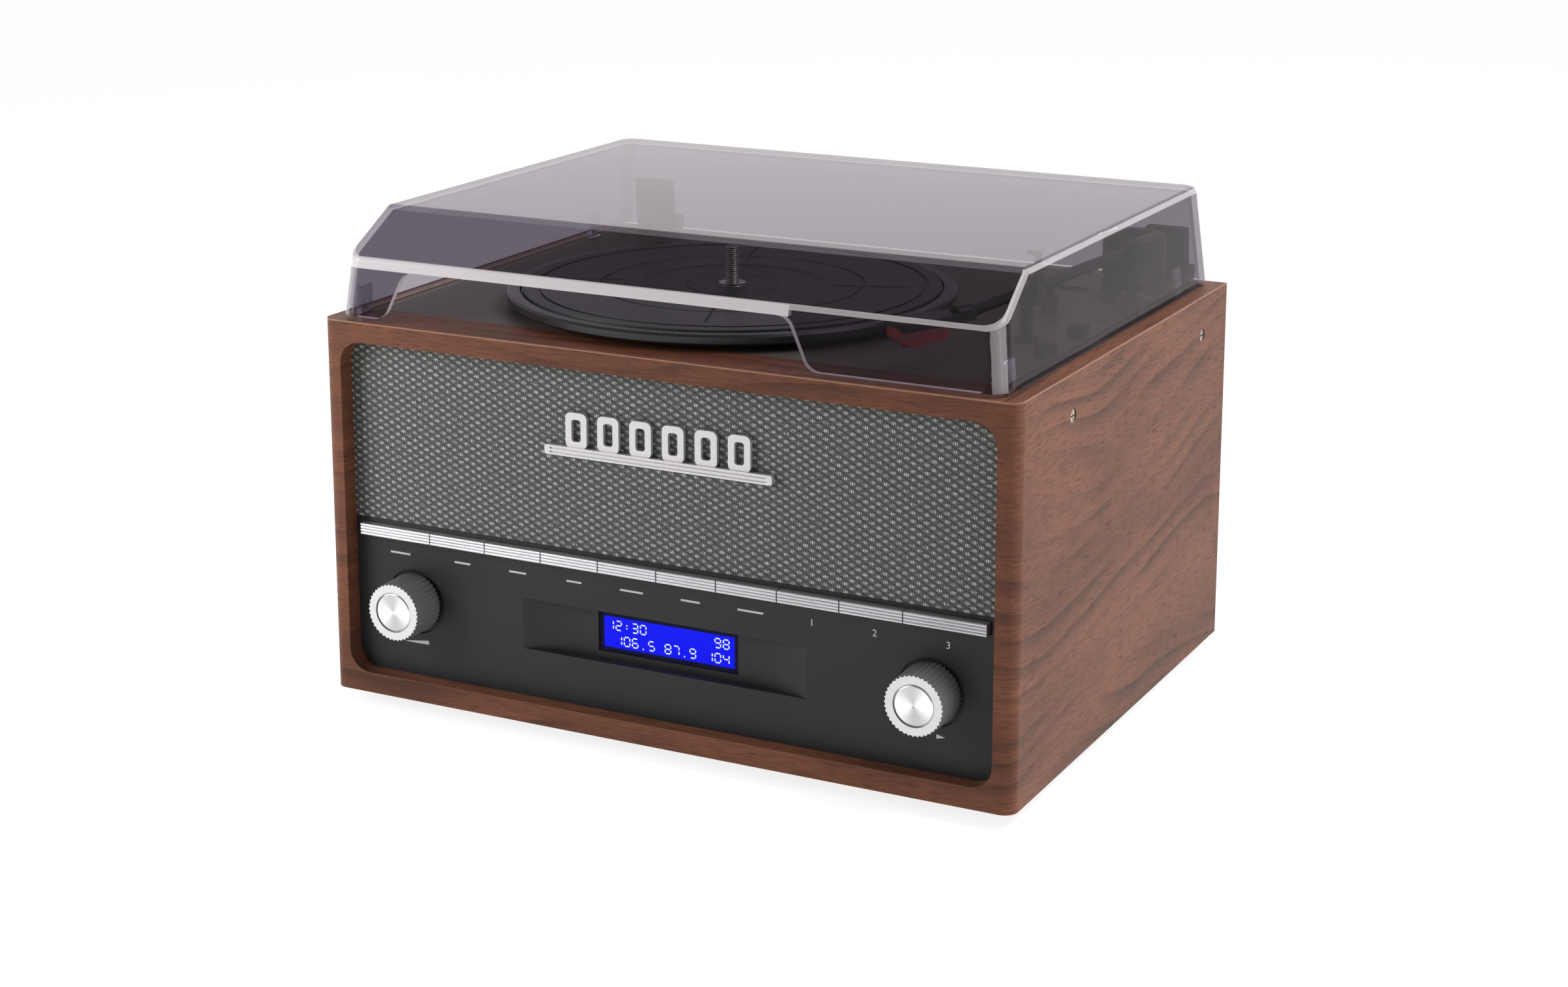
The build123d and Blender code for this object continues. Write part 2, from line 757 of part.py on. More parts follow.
# ------------------------------------------------------------------ inside the cabinet
board_low = board + 10
board_face = board_low + circuit_board
standoff_radius = 3.0
standoff_inset = 6.0
main_x = (70.0 - half_width, 60.0)
main_y = (90.0, cabinet_depth - 80)
mains_x = (half_width - 102, half_width - 24)
mains_y = (130.0, cabinet_depth - 60)
heat_sink = ((-20.0, 40.0), (190.0, 206.0), (board_face, board_face + 28))
tuner_can = ((-70.0, -40.0), (110.0, 140.0), (board_face, board_face + 3.5))
transformer = ((mains_x[0] + 12, mains_x[0] + 62), (145.0, 187.0), (board_face, board_face + 36))
capacitor_radius = 8.0
capacitor_height = 22.0
capacitor_places = ((-100.0, 190.0), (-80.0, 190.0), (-60.0, 190.0))


def board_on_posts(x, y):
    circuit = block(x, y, (board_low, board_face))
    for post_x in (x[0] + standoff_inset, x[1] - standoff_inset):
        for post_y in (y[0] + standoff_inset, y[1] - standoff_inset):
            circuit += upright(standoff_radius, post_x, post_y, board, board_low)
    return circuit


def main_board():
    """Amplifier and tuner board on stand-offs, with its heat sink and large capacitors."""
    circuit = board_on_posts(main_x, main_y) + block(*heat_sink) + block(*tuner_can)
    for x, y in capacitor_places:
        circuit += upright(capacitor_radius, x, y, board_face, board_face + capacitor_height)
    return circuit


def power_board():
    """Mains board with its transformer."""
    return board_on_posts(mains_x, mains_y) + block(*transformer)


# ------------------------------------------------------------------ deck
def motor_place():
    angle = radians(pulley_turn)
    return spindle_x + pulley_distance * cos(angle), spindle_y + pulley_distance * sin(angle)


def lift_place():
    return arm_point(lift_radius, lift_sweep / 2 - lift_lead)


def switch_slot(y, travel_low, travel_high):
    return block((switch_x - 2, switch_x + 2), (y - 3 + travel_low - fit, y + 3 + travel_high + fit),
                 (deck_bottom, deck_top))


def well_sketch(extra):
    """Plan of the dip in the deck, round the drive ring and the pulley."""
    motor_x, motor_y = motor_place()
    ring = Pos(spindle_x, spindle_y) * Circle(drive_ring_radius + well_room + extra)
    lobe = Pos(motor_x, motor_y) * Circle(well_lobe + extra)
    return make_hull(ring.edges() + lobe.edges())


def deck_plate():
    half = inner_half - deck_gap
    deck = block((-half, half), (front_strip + deck_gap, cabinet_depth - rear_rail - deck_gap),
                 (deck_bottom, deck_top))
    deck += plan_prism((well_under, deck_bottom), well_sketch(well_wall))
    deck -= plan_prism((well_floor, deck_top), well_sketch(0))
    for y, z in side_screw_places():
        boss = block((half - side_boss_length, half), (y - side_boss_half, y + side_boss_half),
                     (z - side_boss_half, deck_bottom))
        boss -= across(side_screw_radius, y, z, half - side_boss_length, half)
        deck += boss
        deck += mirror(boss, Plane.YZ)
    deck -= upright(bearing_radius + running, spindle_x, spindle_y, well_under, deck_top)
    motor_x, motor_y = motor_place()
    deck -= upright(motor_shaft + 2, motor_x, motor_y, well_under, deck_top)
    deck -= upright(adapter_radius + fit, adapter_x, adapter_y, deck_top - 1, deck_top)
    deck += upright(adapter_peg, adapter_x, adapter_y, deck_bottom, deck_top + 3)
    lift_x, lift_y = lift_place()
    deck += upright(4.5, lift_x, lift_y, deck_bottom - 6, top + 10)
    deck -= upright(lift_stem + running, lift_x, lift_y, deck_bottom - 6, top + 10)
    deck -= switch_slot(speed_y, -switch_travel, switch_travel)
    deck -= switch_slot(stop_y, 0, switch_travel)
    for side in (-1, 1):
        x = lever_x + side * (lever_width / 2 + 1.5 + near)
        deck += block((x - 1.5, x + 1.5), (lever_y - 4, lever_y + 4), (deck_bottom, top + 7))
        deck += across(4, lever_y, top + 7, x - 1.5, x + 1.5)
    deck += across(pivot_pin, lever_y, top + 7, lever_x - lever_width / 2 - near, lever_x + lever_width / 2 + near)
    return deck


def record_adapter():
    """Large-hole adapter in its recess in the deck."""
    low = deck_top - 1
    disc = turned(adapter_x, adapter_y, [
        (adapter_peg + running, low), (adapter_radius, low), (adapter_radius, low + adapter_height - 0.5),
        (adapter_radius - 0.5, low + adapter_height), (adapter_boss + 2, low + adapter_height),
        (adapter_boss, low + adapter_boss_height), (adapter_peg + running, low + adapter_boss_height)])
    return disc


def spindle_bearing():
    low = well_under - bearing_depth
    high = top + bearing_rise
    sleeve = upright(bearing_radius, spindle_x, spindle_y, low, high)
    sleeve += upright(bearing_flange, spindle_x, spindle_y, well_under - 3, well_under)
    sleeve -= upright(spindle_radius + running, spindle_x, spindle_y, low + 3, high)
    return sleeve


def spindle():
    low = well_under - bearing_depth + 3
    pin = upright(spindle_radius, spindle_x, spindle_y, low, top + spindle_top)
    pin = fillet(pin.edges().group_by(Axis.Z)[-1], 1.4)
    label_top = top + mat_top - mat_groove
    pin += upright(collar_radius, spindle_x, spindle_y, label_top - 1.2, label_top + collar_height)
    return pin


def inner_platter():
    """Inner platter: the hub on the spindle, a web, and the ring that the belt runs round."""
    high = platter_seat - platter_web
    web = high - inner_platter_web
    hub_low = bearing_rise + hub_clearance
    ring_low = belt_low - ring_skirt
    inside = drive_ring_radius - drive_ring_wall
    outline = [(spindle_radius, hub_low), (hub_radius, hub_low), (hub_radius, web), (inside, web),
               (inside, ring_low), (drive_ring_radius, ring_low), (drive_ring_radius, high),
               (spindle_radius, high)]
    return turned(spindle_x, spindle_y, [(r, top + z) for r, z in outline])


def platter():
    """Outer platter: the rim and the web that lies on the inner platter."""
    inner_rim = platter_radius - platter_rim
    web = platter_seat - platter_web
    rim_step = 1.2
    outline = [
        (spindle_radius, web), (inner_rim - 2, web), (inner_rim - 2, platter_bottom),
        (platter_radius - rim_step, platter_bottom), (platter_radius, platter_bottom + rim_step),
        (platter_radius, platter_lip - rim_step), (platter_radius - rim_step, platter_lip),
        (inner_rim, platter_lip), (inner_rim - 0.8, platter_seat), (spindle_radius, platter_seat)]
    return turned(spindle_x, spindle_y, [(r, top + z) for r, z in outline])


def platter_mat():
    """Rubber mat with moulded rings, a sunk label area and radial marks."""
    edge = platter_radius - platter_rim - 0.8 - mat_gap
    high = mat_top
    sunk = mat_top - mat_groove
    half = ring_width / 2
    outline = [
        (collar_radius + 0.3, platter_seat), (edge, platter_seat), (edge, high),
        (mat_outer_ring + half, high), (mat_outer_ring + half, sunk),
        (mat_outer_ring - half, sunk), (mat_outer_ring - half, high),
        (mat_inner_ring + half / 2, high), (mat_inner_ring + half / 2, sunk),
        (mat_inner_ring - half / 2, sunk), (mat_inner_ring - half / 2, high),
        (label_radius, high), (label_radius - 2, sunk),
        (centre_ring + half / 2, sunk), (centre_ring, sunk - 0.5), (centre_ring - half / 2, sunk),
        (collar_radius + 0.3, sunk)]
    mat = turned(spindle_x, spindle_y, [(r, top + z) for r, z in outline])
    slot = block((slot_inner, slot_outer), (-slot_width / 2, slot_width / 2), (top + sunk, top + high))
    for i in range(4):
        mat -= Pos(spindle_x, spindle_y, 0) * Rot(0, 0, slot_turn + 90 * i) * slot
    return mat


def drive_motor():
    x, y = motor_place()
    can = upright(motor_radius, x, y, well_under - motor_height, well_under)
    can = fillet(can.edges().group_by(Axis.Z)[0], 2)
    can -= upright(motor_shaft + running, x, y, well_under - 12, well_under)
    return can


def motor_pulley():
    x, y = motor_place()
    low = belt_low - 0.2 - belt_guide
    high = belt_high + belt_guide
    wheel = turned(x, y, [(0, top + low), (pulley_flange, top + low), (pulley_flange, top + belt_low - 0.2),
                          (pulley_radius, top + belt_low), (pulley_radius, top + belt_high),
                          (pulley_flange, top + belt_high + 0.2), (pulley_flange, top + high), (0, top + high)])
    wheel += upright(motor_shaft, x, y, well_under - 11.5, top + low)
    return wheel


def drive_belt():
    x, y = motor_place()

    def loop(extra):
        ring = Pos(spindle_x, spindle_y) * Circle(drive_ring_radius + belt_gap + extra)
        small = Pos(x, y) * Circle(pulley_radius + belt_gap + extra)
        return make_hull(ring.edges() + small.edges())

    return plan_prism((top + belt_low, top + belt_high), loop(belt_thickness) - loop(0))


# ------------------------------------------------------------------ tonearm
def tonearm_base():
    base = turned(pivot_x, pivot_y, [
        (0, deck_top), (pedestal_radius + 1.5, deck_top), (pedestal_radius + 1.5, top + 2),
        (pedestal_radius, top + 3.5), (pedestal_radius, top + pedestal_top - 1),
        (pedestal_radius - 1, top + pedestal_top), (turret_shaft, top + pedestal_top),
        (turret_shaft, top + pedestal_top + 5), (0, top + pedestal_top + 5)])
    return base


def tonearm_gimbal():
    low = top + pedestal_top + near
    high = top + gimbal_top
    r = pedestal_radius - 0.5
    turret = turned(0, 0, [(0, low), (r, low), (r, high - 2), (r - 2, high), (0, high)])
    turret -= upright(turret_shaft + running, 0, 0, low, top + pedestal_top + 5 + near)
    slot_low = top + arm_height - 6.5
    turret -= block((-gimbal_slot / 2, gimbal_slot / 2), (-r - 1, 9.5), (slot_low, high))
    turret += across(pivot_pin, 0, top + arm_height, -gimbal_slot / 2, gimbal_slot / 2)
    return on_arm(turret)


def tonearm_tube():
    """Straight tube with its pivot block; it tips on the pin across the turret."""
    z = top + arm_height
    half = gimbal_slot / 2 - near
    pivot_block = block((-half, half), (-11, 7), (z - 5, z + 5))
    pivot_block = fillet(pivot_block.edges().filter_by(Axis.X), 2)
    tube = forward(tube_radius, 0, z, -arm_reach, -11)
    arm = pivot_block + tube
    arm -= across(pivot_pin + running, 0, z, -half, half)
    return on_arm(arm)


def headshell():
    """Flat tapering shell with side ribs and a finger lift."""
    z = top + arm_height
    plan = make_face(Polyline((-3.6, 3), (3.6, 3), (7.5, -14), (7.5, -head_length - 3), (5, -head_length - 6),
                              (-5, -head_length - 6), (-7.5, -head_length - 3), (-7.5, -14), close=True))
    shell = plan_prism((z - 3, z + 1.5), plan)
    shell -= block((-6, 6), (-head_length - 7, -12), (z - 3, z - 1.2))
    shell += forward(tube_radius + 1.2, 0, z, -7, 2)
    shell += side_prism((7.5, 9), [(-head_length + 4, z - 1), (-head_length + 12, z - 1),
                                   (-head_length + 12, z + 0.5), (-head_length - 8, z + 2),
                                   (-head_length - 8, z + 0.5)])
    socket = on_arm(forward(tube_radius, 0, z, -arm_reach, -arm_reach + 2 * head_turn))
    return on_head(shell) - socket


def cartridge():
    """Cartridge body under the headshell, with its stylus arm."""
    z = top + arm_height - 1.2
    body = side_prism((-4.8, 4.8), [(-12.5, z), (-head_length - 5, z), (-head_length - 5, z - 5),
                                    (-head_length + 2, z - 10), (-18, z - 9), (-12.5, z - 6)])
    body += block((-0.6, 0.6), (-head_length + 0.4, -head_length + 1.6), (z - 11, z - 8))
    return on_head(body)


def lift_platform():
    """Curved bar that lifts the tube, on a stem that slides in the deck."""
    raised = top + arm_height - tube_radius - near
    high = raised - lift_travel
    inner = lift_radius - lift_width / 2
    outer = lift_radius + lift_width / 2
    start = -90 - arm_turn + lift_lead - lift_sweep
    sector = make_face(Polyline((0, 0), *[
        (2 * outer * cos(radians(start + lift_sweep * i / 6)), 2 * outer * sin(radians(start + lift_sweep * i / 6)))
        for i in range(7)], close=True))
    bar = (Circle(outer) - Circle(inner)) & sector
    bar = Pos(pivot_x, pivot_y, 0) * plan_prism((high - lift_thickness, high), bar)
    x, y = lift_place()
    bar += upright(lift_stem, x, y, deck_bottom - 5, high - lift_thickness / 2)
    return bar


def cue_lever():
    z = top + 7
    half = lever_width / 2
    arm = across(4, lever_y, z, lever_x - half, lever_x + half)
    arm += side_prism((lever_x - half, lever_x + half), [
        (lever_y, z - 1.5), (lever_y, z + 2.5), (lever_y - lever_length, z + 5.5), (lever_y - lever_length, z + 3)])
    arm += upright(3.2, lever_x, lever_y - lever_length, z + 2.5, z + 6.5)
    arm -= across(pivot_pin + running, lever_y, z, lever_x - half, lever_x + half)
    return arm


def arm_rest():
    """Post with a shelf and one ear; the inner side is open so that the arm can swing off."""
    z = top + arm_height
    y = -rest_distance
    shelf = z - tube_radius - near
    post = upright(6, 0, y, deck_top, top + 3)
    post += upright(3.2, 0, y, top + 3, shelf - 3)
    post += block((-5.5, 8), (y - 4, y + 4), (shelf - 3, shelf))
    post += block((4, 8), (y - 4, y + 4), (shelf, z + 4))
    post += clip_pin(y, z)
    return on_arm(post)


def clip_pin(y, z):
    """Pin that the clip turns on, along the arm, between two lugs."""
    pin = forward(1.0, 6, z + 6.5, y - 4, y + 4)
    for side in (-1, 1):
        lug = sorted((y + side * 4, y + side * 2.6))
        pin += block((4.2, 7.8), lug, (z + 4, z + 8))
    return pin


def arm_clip():
    """Clip that folds over the tube; it stands open at rest."""
    z = top + arm_height
    y = -rest_distance
    axis_z = z + 6.5
    clip = forward(1.9, 6, axis_z, y - 2.3, y + 2.3)
    clip += block((4.9, 6.6), (y - 2.3, y + 2.3), (axis_z, axis_z + 13))
    clip += block((0, 6.6), (y - 2.3, y + 2.3), (axis_z + 11.5, axis_z + 13))
    clip -= forward(1.0 + running, 6, axis_z, y - 2.3, y + 2.3)
    return on_arm(clip)


def slide_switch(y):
    """Finger piece, neck through the slot and retaining foot."""
    knob_piece = block((switch_x - 4, switch_x + 4), (y - 5, y + 5), (deck_top + fit, top + 6))
    knob_piece = fillet(knob_piece.edges().group_by(Axis.Z)[-1], 1.2)
    knob_piece += block((switch_x - 1.7, switch_x + 1.7), (y - 3, y + 3), (deck_bottom - 1, deck_top + fit))
    knob_piece += block((switch_x - 4, switch_x + 4), (y - 5, y + 5), (deck_bottom - 2.5, deck_bottom - fit))
    return knob_piece


# ------------------------------------------------------------------ dust cover
def lid_form(inset, floor, fold):
    """The cover's outer form, or its hollow when inset by the wall."""
    width = 2 * (lid_half_width - inset)
    depth = lid_rear - lid_front - 2 * inset
    middle = (lid_rear + lid_front) / 2
    corner = max(lid_corner - inset, 1)
    ceiling = lid_top - inset
    low_lean = 2 * lid_draft * (floor - lid_rim)
    high_lean = 2 * lid_draft * (ceiling - lid_rim)
    sections = []
    for z, lean in ((floor, low_lean), (ceiling, high_lean)):
        section = RectangleRounded(width - lean, depth - lean, corner)
        sections.append(Pos(0, middle, z) * section)
    form = loft(sections, ruled=True)
    crease_z = top + lid_crease
    crease_y = lid_front + lid_draft * (crease_z - lid_rim)
    run = lid_slope_end - crease_y
    rise = lid_top - crease_z
    length = sqrt(run ** 2 + rise ** 2)
    shift_y = inset * rise / length
    shift_z = -inset * run / length
    far = 2.0
    low = (crease_y - far * run + shift_y, crease_z - far * rise + shift_z)
    high = (crease_y + far * run + shift_y, crease_z + far * rise + shift_z)
    cutter = side_prism((-cabinet_width, cabinet_width), [low, high, (low[0], high[1])])
    form -= cutter
    ridge = [edge for edge in form.edges() if edge.center().Z > top + lid_crease - inset - 4
             and abs(edge.tangent_at(0.5).Z) < 0.9]
    return fillet(ridge, fold)


def cutout_sketch():
    """Opening in the front wall, with the foot of each side rounded."""
    low = lid_rim
    high = top + cutout_top
    below = low - 3 * cutout_radius
    outline = make_face(Polyline((cutout_left_low - 2 * cutout_radius, below),
                                 (cutout_left_low - 2 * cutout_radius, low),
                                 (cutout_left_low, low), (cutout_left_high, high),
                                 (cutout_right_high, high), (cutout_right_low, low),
                                 (cutout_right_low + 2 * cutout_radius, low),
                                 (cutout_right_low + 2 * cutout_radius, below), close=True))
    bends = [v for v in outline.vertices() if cutout_left_low - 1 < v.X < cutout_right_low + 1]
    return fillet(bends, cutout_radius)


def dust_cover():
    cover = lid_form(0, lid_rim, lid_fold_radius)
    cover -= lid_form(lid_wall, lid_rim - 1, lid_inner_fold)
    reach = lid_front + lid_wall + lid_draft * cutout_top + 2
    cover -= front_prism((lid_front - 2, reach), cutout_sketch())
    return cover


def lid_bumpers():
    """Clear pads inside the side walls that carry the closed cover."""
    pads = []
    inner = lid_half_width - lid_wall
    high = top + bumper_height
    outline = [(inner, lid_rim), (inner - lid_draft * (high - lid_rim), high),
               (inner - bumper_thickness, high), (inner - bumper_thickness, top), (inner - 0.5, top),
               (inner, lid_rim - 0.5)]
    face = make_face(Polyline(*outline, close=True))
    for y in (bumper_front, bumper_rear):
        pad = front_prism((y, y + bumper_length), face)
        pads += [pad, mirror(pad, Plane.YZ)]
    return Compound(pads)


def wall_y(z, inner=False):
    """Rear wall of the cover at height z, outer face or inner face."""
    return lid_rear - lid_draft * (z - lid_rim) - (lid_wall if inner else 0)


def hinge_leaves():
    """Clamp over the rear wall's rim, with the turning barrel."""
    left = hinge_centre - hinge_width / 2
    right = hinge_centre + hinge_width / 2
    third = hinge_width / 4
    low = top + 0.8
    high = lid_rim + hinge_grip
    outer = [(wall_y(low), low), (wall_y(low) + hinge_plate, low), (wall_y(high) + hinge_plate, high - 1.5),
             (wall_y(high) + hinge_plate - 1, high), (wall_y(high), high)]
    inner = [(wall_y(low, True), low), (wall_y(high, True), high), (wall_y(high, True) - hinge_plate, high),
             (wall_y(low, True) - hinge_plate, low)]
    web = [(wall_y(low, True) - 0.1, low), (wall_y(low, True) - 0.1, lid_rim), (wall_y(low) + 0.1, lid_rim),
           (wall_y(low) + 0.1, low)]
    leaf = side_prism((left, right), outer) + side_prism((left, right), inner)
    leaf += side_prism((left, right), web)
    knuckle = (left + third + hinge_side_gap, right - third - hinge_side_gap)
    leaf += across(hinge_barrel, hinge_y, hinge_z, *knuckle)
    leaf += block(knuckle, (wall_y(low) + 0.5, hinge_y), (hinge_z - 1.8, hinge_z + 2.5))
    leaf -= across(hinge_pin + running, hinge_y, hinge_z, *knuckle)
    return both_sides(leaf)


def hinge_bases():
    """Brackets on the back of the cabinet, each with its pin."""
    left = hinge_centre - hinge_width / 2
    right = hinge_centre + hinge_width / 2
    third = hinge_width / 4
    base = block((left, right), (cabinet_depth, cabinet_depth + 2.5), (top - hinge_base_drop, top - 2.5))
    for x in ((left, left + third), (right - third, right)):
        base += across(hinge_barrel, hinge_y, hinge_z, *x)
        base += side_prism(x, [(cabinet_depth, top - 8), (cabinet_depth + 2.5, top - 14),
                               (hinge_y + hinge_barrel, hinge_z), (hinge_y - hinge_barrel + 0.8, hinge_z - 2),
                               (cabinet_depth, top - 2.5)])
    base += across(hinge_pin, hinge_y, hinge_z, left, right)
    return both_sides(base)


# ------------------------------------------------------------------ the list of pieces
nodes["cabinet_shell"] = cabinet_shell()
nodes["rubber_feet"] = rubber_feet()
nodes["case_screws"] = case_screws()
nodes["side_screws"] = side_screws()
nodes["back_panel"] = back_panel()
nodes["rear_sockets"] = rear_sockets()
nodes["mains_inlet"] = mains_inlet()
nodes["front_panel"] = front_panel()
for number, (left, right) in enumerate(button_layout(), start=1):
    nodes[f"button_{number:02d}"] = button(left, right)
nodes["button_board"] = button_board()
nodes["lcd_window"] = lcd_window()
nodes["lcd_module"] = lcd_module()
nodes["volume_knob"] = knob(-knob_spread)
nodes["volume_cap"] = knob_cap(-knob_spread)
nodes["volume_pot"] = volume_pot()
nodes["tune_knob"] = knob(knob_spread)
nodes["tune_cap"] = knob_cap(knob_spread)
nodes["tune_rotor"] = tune_rotor()
nodes["tune_encoder"] = tune_encoder()
nodes["speaker_baffle"] = speaker_baffle()
nodes["grille_cloth"] = grille_cloth()
nodes["speaker_left"] = speaker(-1)
nodes["speaker_right"] = speaker(1)
nodes["badge_bar"] = badge_bar()
nodes["main_board"] = main_board()
nodes["power_board"] = power_board()
nodes["deck_plate"] = deck_plate()
nodes["record_adapter"] = record_adapter()
nodes["spindle_bearing"] = spindle_bearing()
nodes["spindle"] = spindle()
nodes["inner_platter"] = inner_platter()
nodes["platter"] = platter()
nodes["platter_mat"] = platter_mat()
nodes["drive_motor"] = drive_motor()
nodes["motor_pulley"] = motor_pulley()
nodes["drive_belt"] = drive_belt()
nodes["tonearm_base"] = tonearm_base()
nodes["tonearm_gimbal"] = tonearm_gimbal()
nodes["tonearm_tube"] = tonearm_tube()
nodes["headshell"] = headshell()
nodes["cartridge"] = cartridge()
nodes["lift_platform"] = lift_platform()
nodes["cue_lever"] = cue_lever()
nodes["arm_rest"] = arm_rest()
nodes["arm_clip"] = arm_clip()
nodes["speed_selector"] = slide_switch(speed_y)
nodes["stop_switch"] = slide_switch(stop_y)
nodes["dust_cover"] = dust_cover()
nodes["lid_bumpers"] = lid_bumpers()
nodes["hinge_leaves"] = hinge_leaves()
nodes["hinge_bases"] = hinge_bases()


# ------------------------------------------------------------------ export
for name, piece in nodes.items():
    export_step(Pos(0, -middle_y, foot_height) * piece, f"parts/{name}.step")
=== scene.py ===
import math

import bmesh
import bpy
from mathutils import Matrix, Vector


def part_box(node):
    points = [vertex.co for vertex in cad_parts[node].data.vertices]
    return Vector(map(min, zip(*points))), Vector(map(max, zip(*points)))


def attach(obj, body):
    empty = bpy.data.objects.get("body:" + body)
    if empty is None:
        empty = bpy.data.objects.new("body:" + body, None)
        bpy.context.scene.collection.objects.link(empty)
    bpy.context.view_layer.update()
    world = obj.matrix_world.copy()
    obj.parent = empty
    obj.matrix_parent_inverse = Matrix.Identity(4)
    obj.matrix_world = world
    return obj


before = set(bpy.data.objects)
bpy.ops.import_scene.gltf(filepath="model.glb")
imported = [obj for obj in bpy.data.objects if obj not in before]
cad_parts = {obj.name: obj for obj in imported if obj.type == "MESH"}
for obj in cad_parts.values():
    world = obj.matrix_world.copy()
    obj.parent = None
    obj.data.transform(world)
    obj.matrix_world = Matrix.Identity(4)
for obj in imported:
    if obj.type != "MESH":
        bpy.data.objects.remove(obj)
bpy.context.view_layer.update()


# ---------------------------------------------------------------- finishes as fields
# A finish varies over its surface by small shader sums. A field holds one such value, so that the
# sections below can write a finish as plain arithmetic on places and directions.

class Field:
    """A value that varies over a surface. Arithmetic on it adds Math nodes to its material."""

    def __init__(self, socket):
        self.socket = socket

    def node(self, kind, settings=None, sockets=None, outlet=0):
        """Adds a shader node; its settings are set first, then the values or links of its sockets."""
        tree = self.socket.id_data
        made = tree.nodes.new("ShaderNode" + kind)
        for name, value in (settings or {}).items():
            setattr(made, name, value)
        for name, value in (sockets or {}).items():
            if isinstance(value, Field):
                tree.links.new(value.socket, made.inputs[name])
            else:
                made.inputs[name].default_value = value
        return Field(made.outputs[outlet])

    def maths(self, operation, first, second=0.0):
        return self.node("Math", {"operation": operation}, {0: first, 1: second})

    def __add__(self, other):
        return self.maths("ADD", self, other)

    __radd__ = __add__

    def __sub__(self, other):
        return self.maths("SUBTRACT", self, other)

    def __rsub__(self, other):
        return self.maths("SUBTRACT", other, self)

    def __mul__(self, other):
        return self.maths("MULTIPLY", self, other)

    __rmul__ = __mul__

    def __truediv__(self, other):
        return self.maths("DIVIDE", self, other)

    def __gt__(self, other):
        return self.maths("GREATER_THAN", self, other)

    def __lt__(self, other):
        return self.maths("LESS_THAN", self, other)

    def __abs__(self):
        return self.maths("ABSOLUTE", self)

    def wave(self, length):
        """A sine along this value, once in each length."""
        return self.maths("SINE", self * (2 * math.pi / length))

    def rise(self, low, high):
        """0 below low, 1 above high, smooth between them."""
        return self.node("MapRange", {"interpolation_type": "SMOOTHSTEP"},
                         {"Value": self, "From Min": low, "From Max": high})

    def parts(self):
        """The x, y and z of a vector."""
        first = self.node("SeparateXYZ", None, {"Vector": self})
        return [Field(outlet) for outlet in first.socket.node.outputs]

    def stretched(self, x, y, z):
        """A place, scaled by a number of its own along each axis."""
        return self.node("VectorMath", {"operation": "MULTIPLY"}, {0: self, 1: (x, y, z)})

    def noise(self, scale, detail=2.0, roughness=0.5):
        """Cloudy noise from 0 to 1, with this many clouds to the metre."""
        return self.node("TexNoise", None, {"Vector": self, "Scale": scale, "Detail": detail,
                                            "Roughness": roughness})

    def larger(self, other):
        return self.maths("MAXIMUM", self, other)

    def tinted(self, low, high):
        """The colour low where this is 0, high where it is 1; either may be a colour field."""
        return self.node("Mix", {"data_type": "RGBA"}, {0: self, 6: low, 7: high}, outlet=2)

    def bump(self, depth):
        """The surface's normal, tilted as if this were a height of that many metres."""
        return self.node("Bump", None, {"Strength": 1.0, "Distance": depth, "Height": self})


def colour(red, green, blue):
    """A colour as it looks on a screen, from 0 to 255, as the shaders take it."""
    parts = [part / 255 for part in (red, green, blue)]
    linear = [part / 12.92 if part <= 10 / 255 else ((part + 0.055) / 1.055) ** 2.4 for part in parts]
    return (*linear, 1.0)


def material_and_place(name):
    """A new material, with the place and the direction of the surface as fields."""
    material = bpy.data.materials.new(name)
    material.use_nodes = True
    coordinates = material.node_tree.nodes.new("ShaderNodeTexCoord")
    return material, Field(coordinates.outputs["Object"]), Field(coordinates.outputs["Normal"])


def surface(material, **sockets):
    """Sets the sockets of the material's shader; a field is linked, a number is set."""
    shader = material.node_tree.nodes["Principled BSDF"]
    for name, value in sockets.items():
        socket = shader.inputs[name.replace("_", " ")]
        if isinstance(value, Field):
            material.node_tree.links.new(value.socket, socket)
        else:
            socket.default_value = value
    return material


def finish_nodes(material, *names):
    """Gives CAD nodes this material."""
    for name in names:
        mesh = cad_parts[name].data
        mesh.materials.clear()
        mesh.materials.append(material)


# ---------------------------------------------------------------- wooden cabinet
# A box of fibreboard wrapped in printed walnut film. The film runs round the upright front edges, so
# its grain lies level on the front and on the sides, and along each strip on the top.

walnut, place, facing = material_and_place("walnut_film")
x, y, z = place.parts()
wood_low, wood_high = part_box("cabinet_shell")
strip_width = 0.009  # of each side's top edge
level = abs(facing.parts()[2]) > 0.7
on_side_strip = abs(x) > wood_high.x - strip_width
across = z + level * (on_side_strip * x + (1 - on_side_strip) * y)
along_y = y * (1 - level) + y * level * on_side_strip
along = x * (1 - level * on_side_strip) + along_y
film = place.node("CombineXYZ", None, {"X": along, "Z": across})
# growth rings: even bands across the board, bent into flames by slow noise
bend = film.stretched(4.2, 1.0, 9.0).noise(1.0, 1.5, 0.4)
sweep = film.stretched(2.2, 1.0, 5.0).noise(1.0, 1.0)
ring_pitch = 0.0135
rings = (across + bend * 0.085 + sweep * 0.05 - along * 0.04) / ring_pitch
ring = rings.maths("FRACT", rings)
late_wood = ring.rise(0.25, 0.90) * (1 - ring.rise(0.90, 1.0))
strength = film.stretched(9.0, 1.0, 30.0).noise(1.0, 2.0).rise(0.38, 0.66)
cloudy = film.stretched(7.0, 1.0, 24.0).noise(1.0, 2.0)
fibre = film.stretched(55.0, 1.0, 1500.0).noise(1.0, 2.0, 0.6)
pores = film.stretched(95.0, 1.0, 2600.0).noise(1.0, 1.5, 0.6)
base = cloudy.rise(0.3, 0.7).tinted(colour(136, 86, 62), colour(112, 69, 50))
streaked = (fibre.rise(0.40, 0.70) * 0.6).tinted(base, colour(82, 53, 43))
ringed = (late_wood * strength * 0.70).tinted(streaked, colour(62, 42, 35))
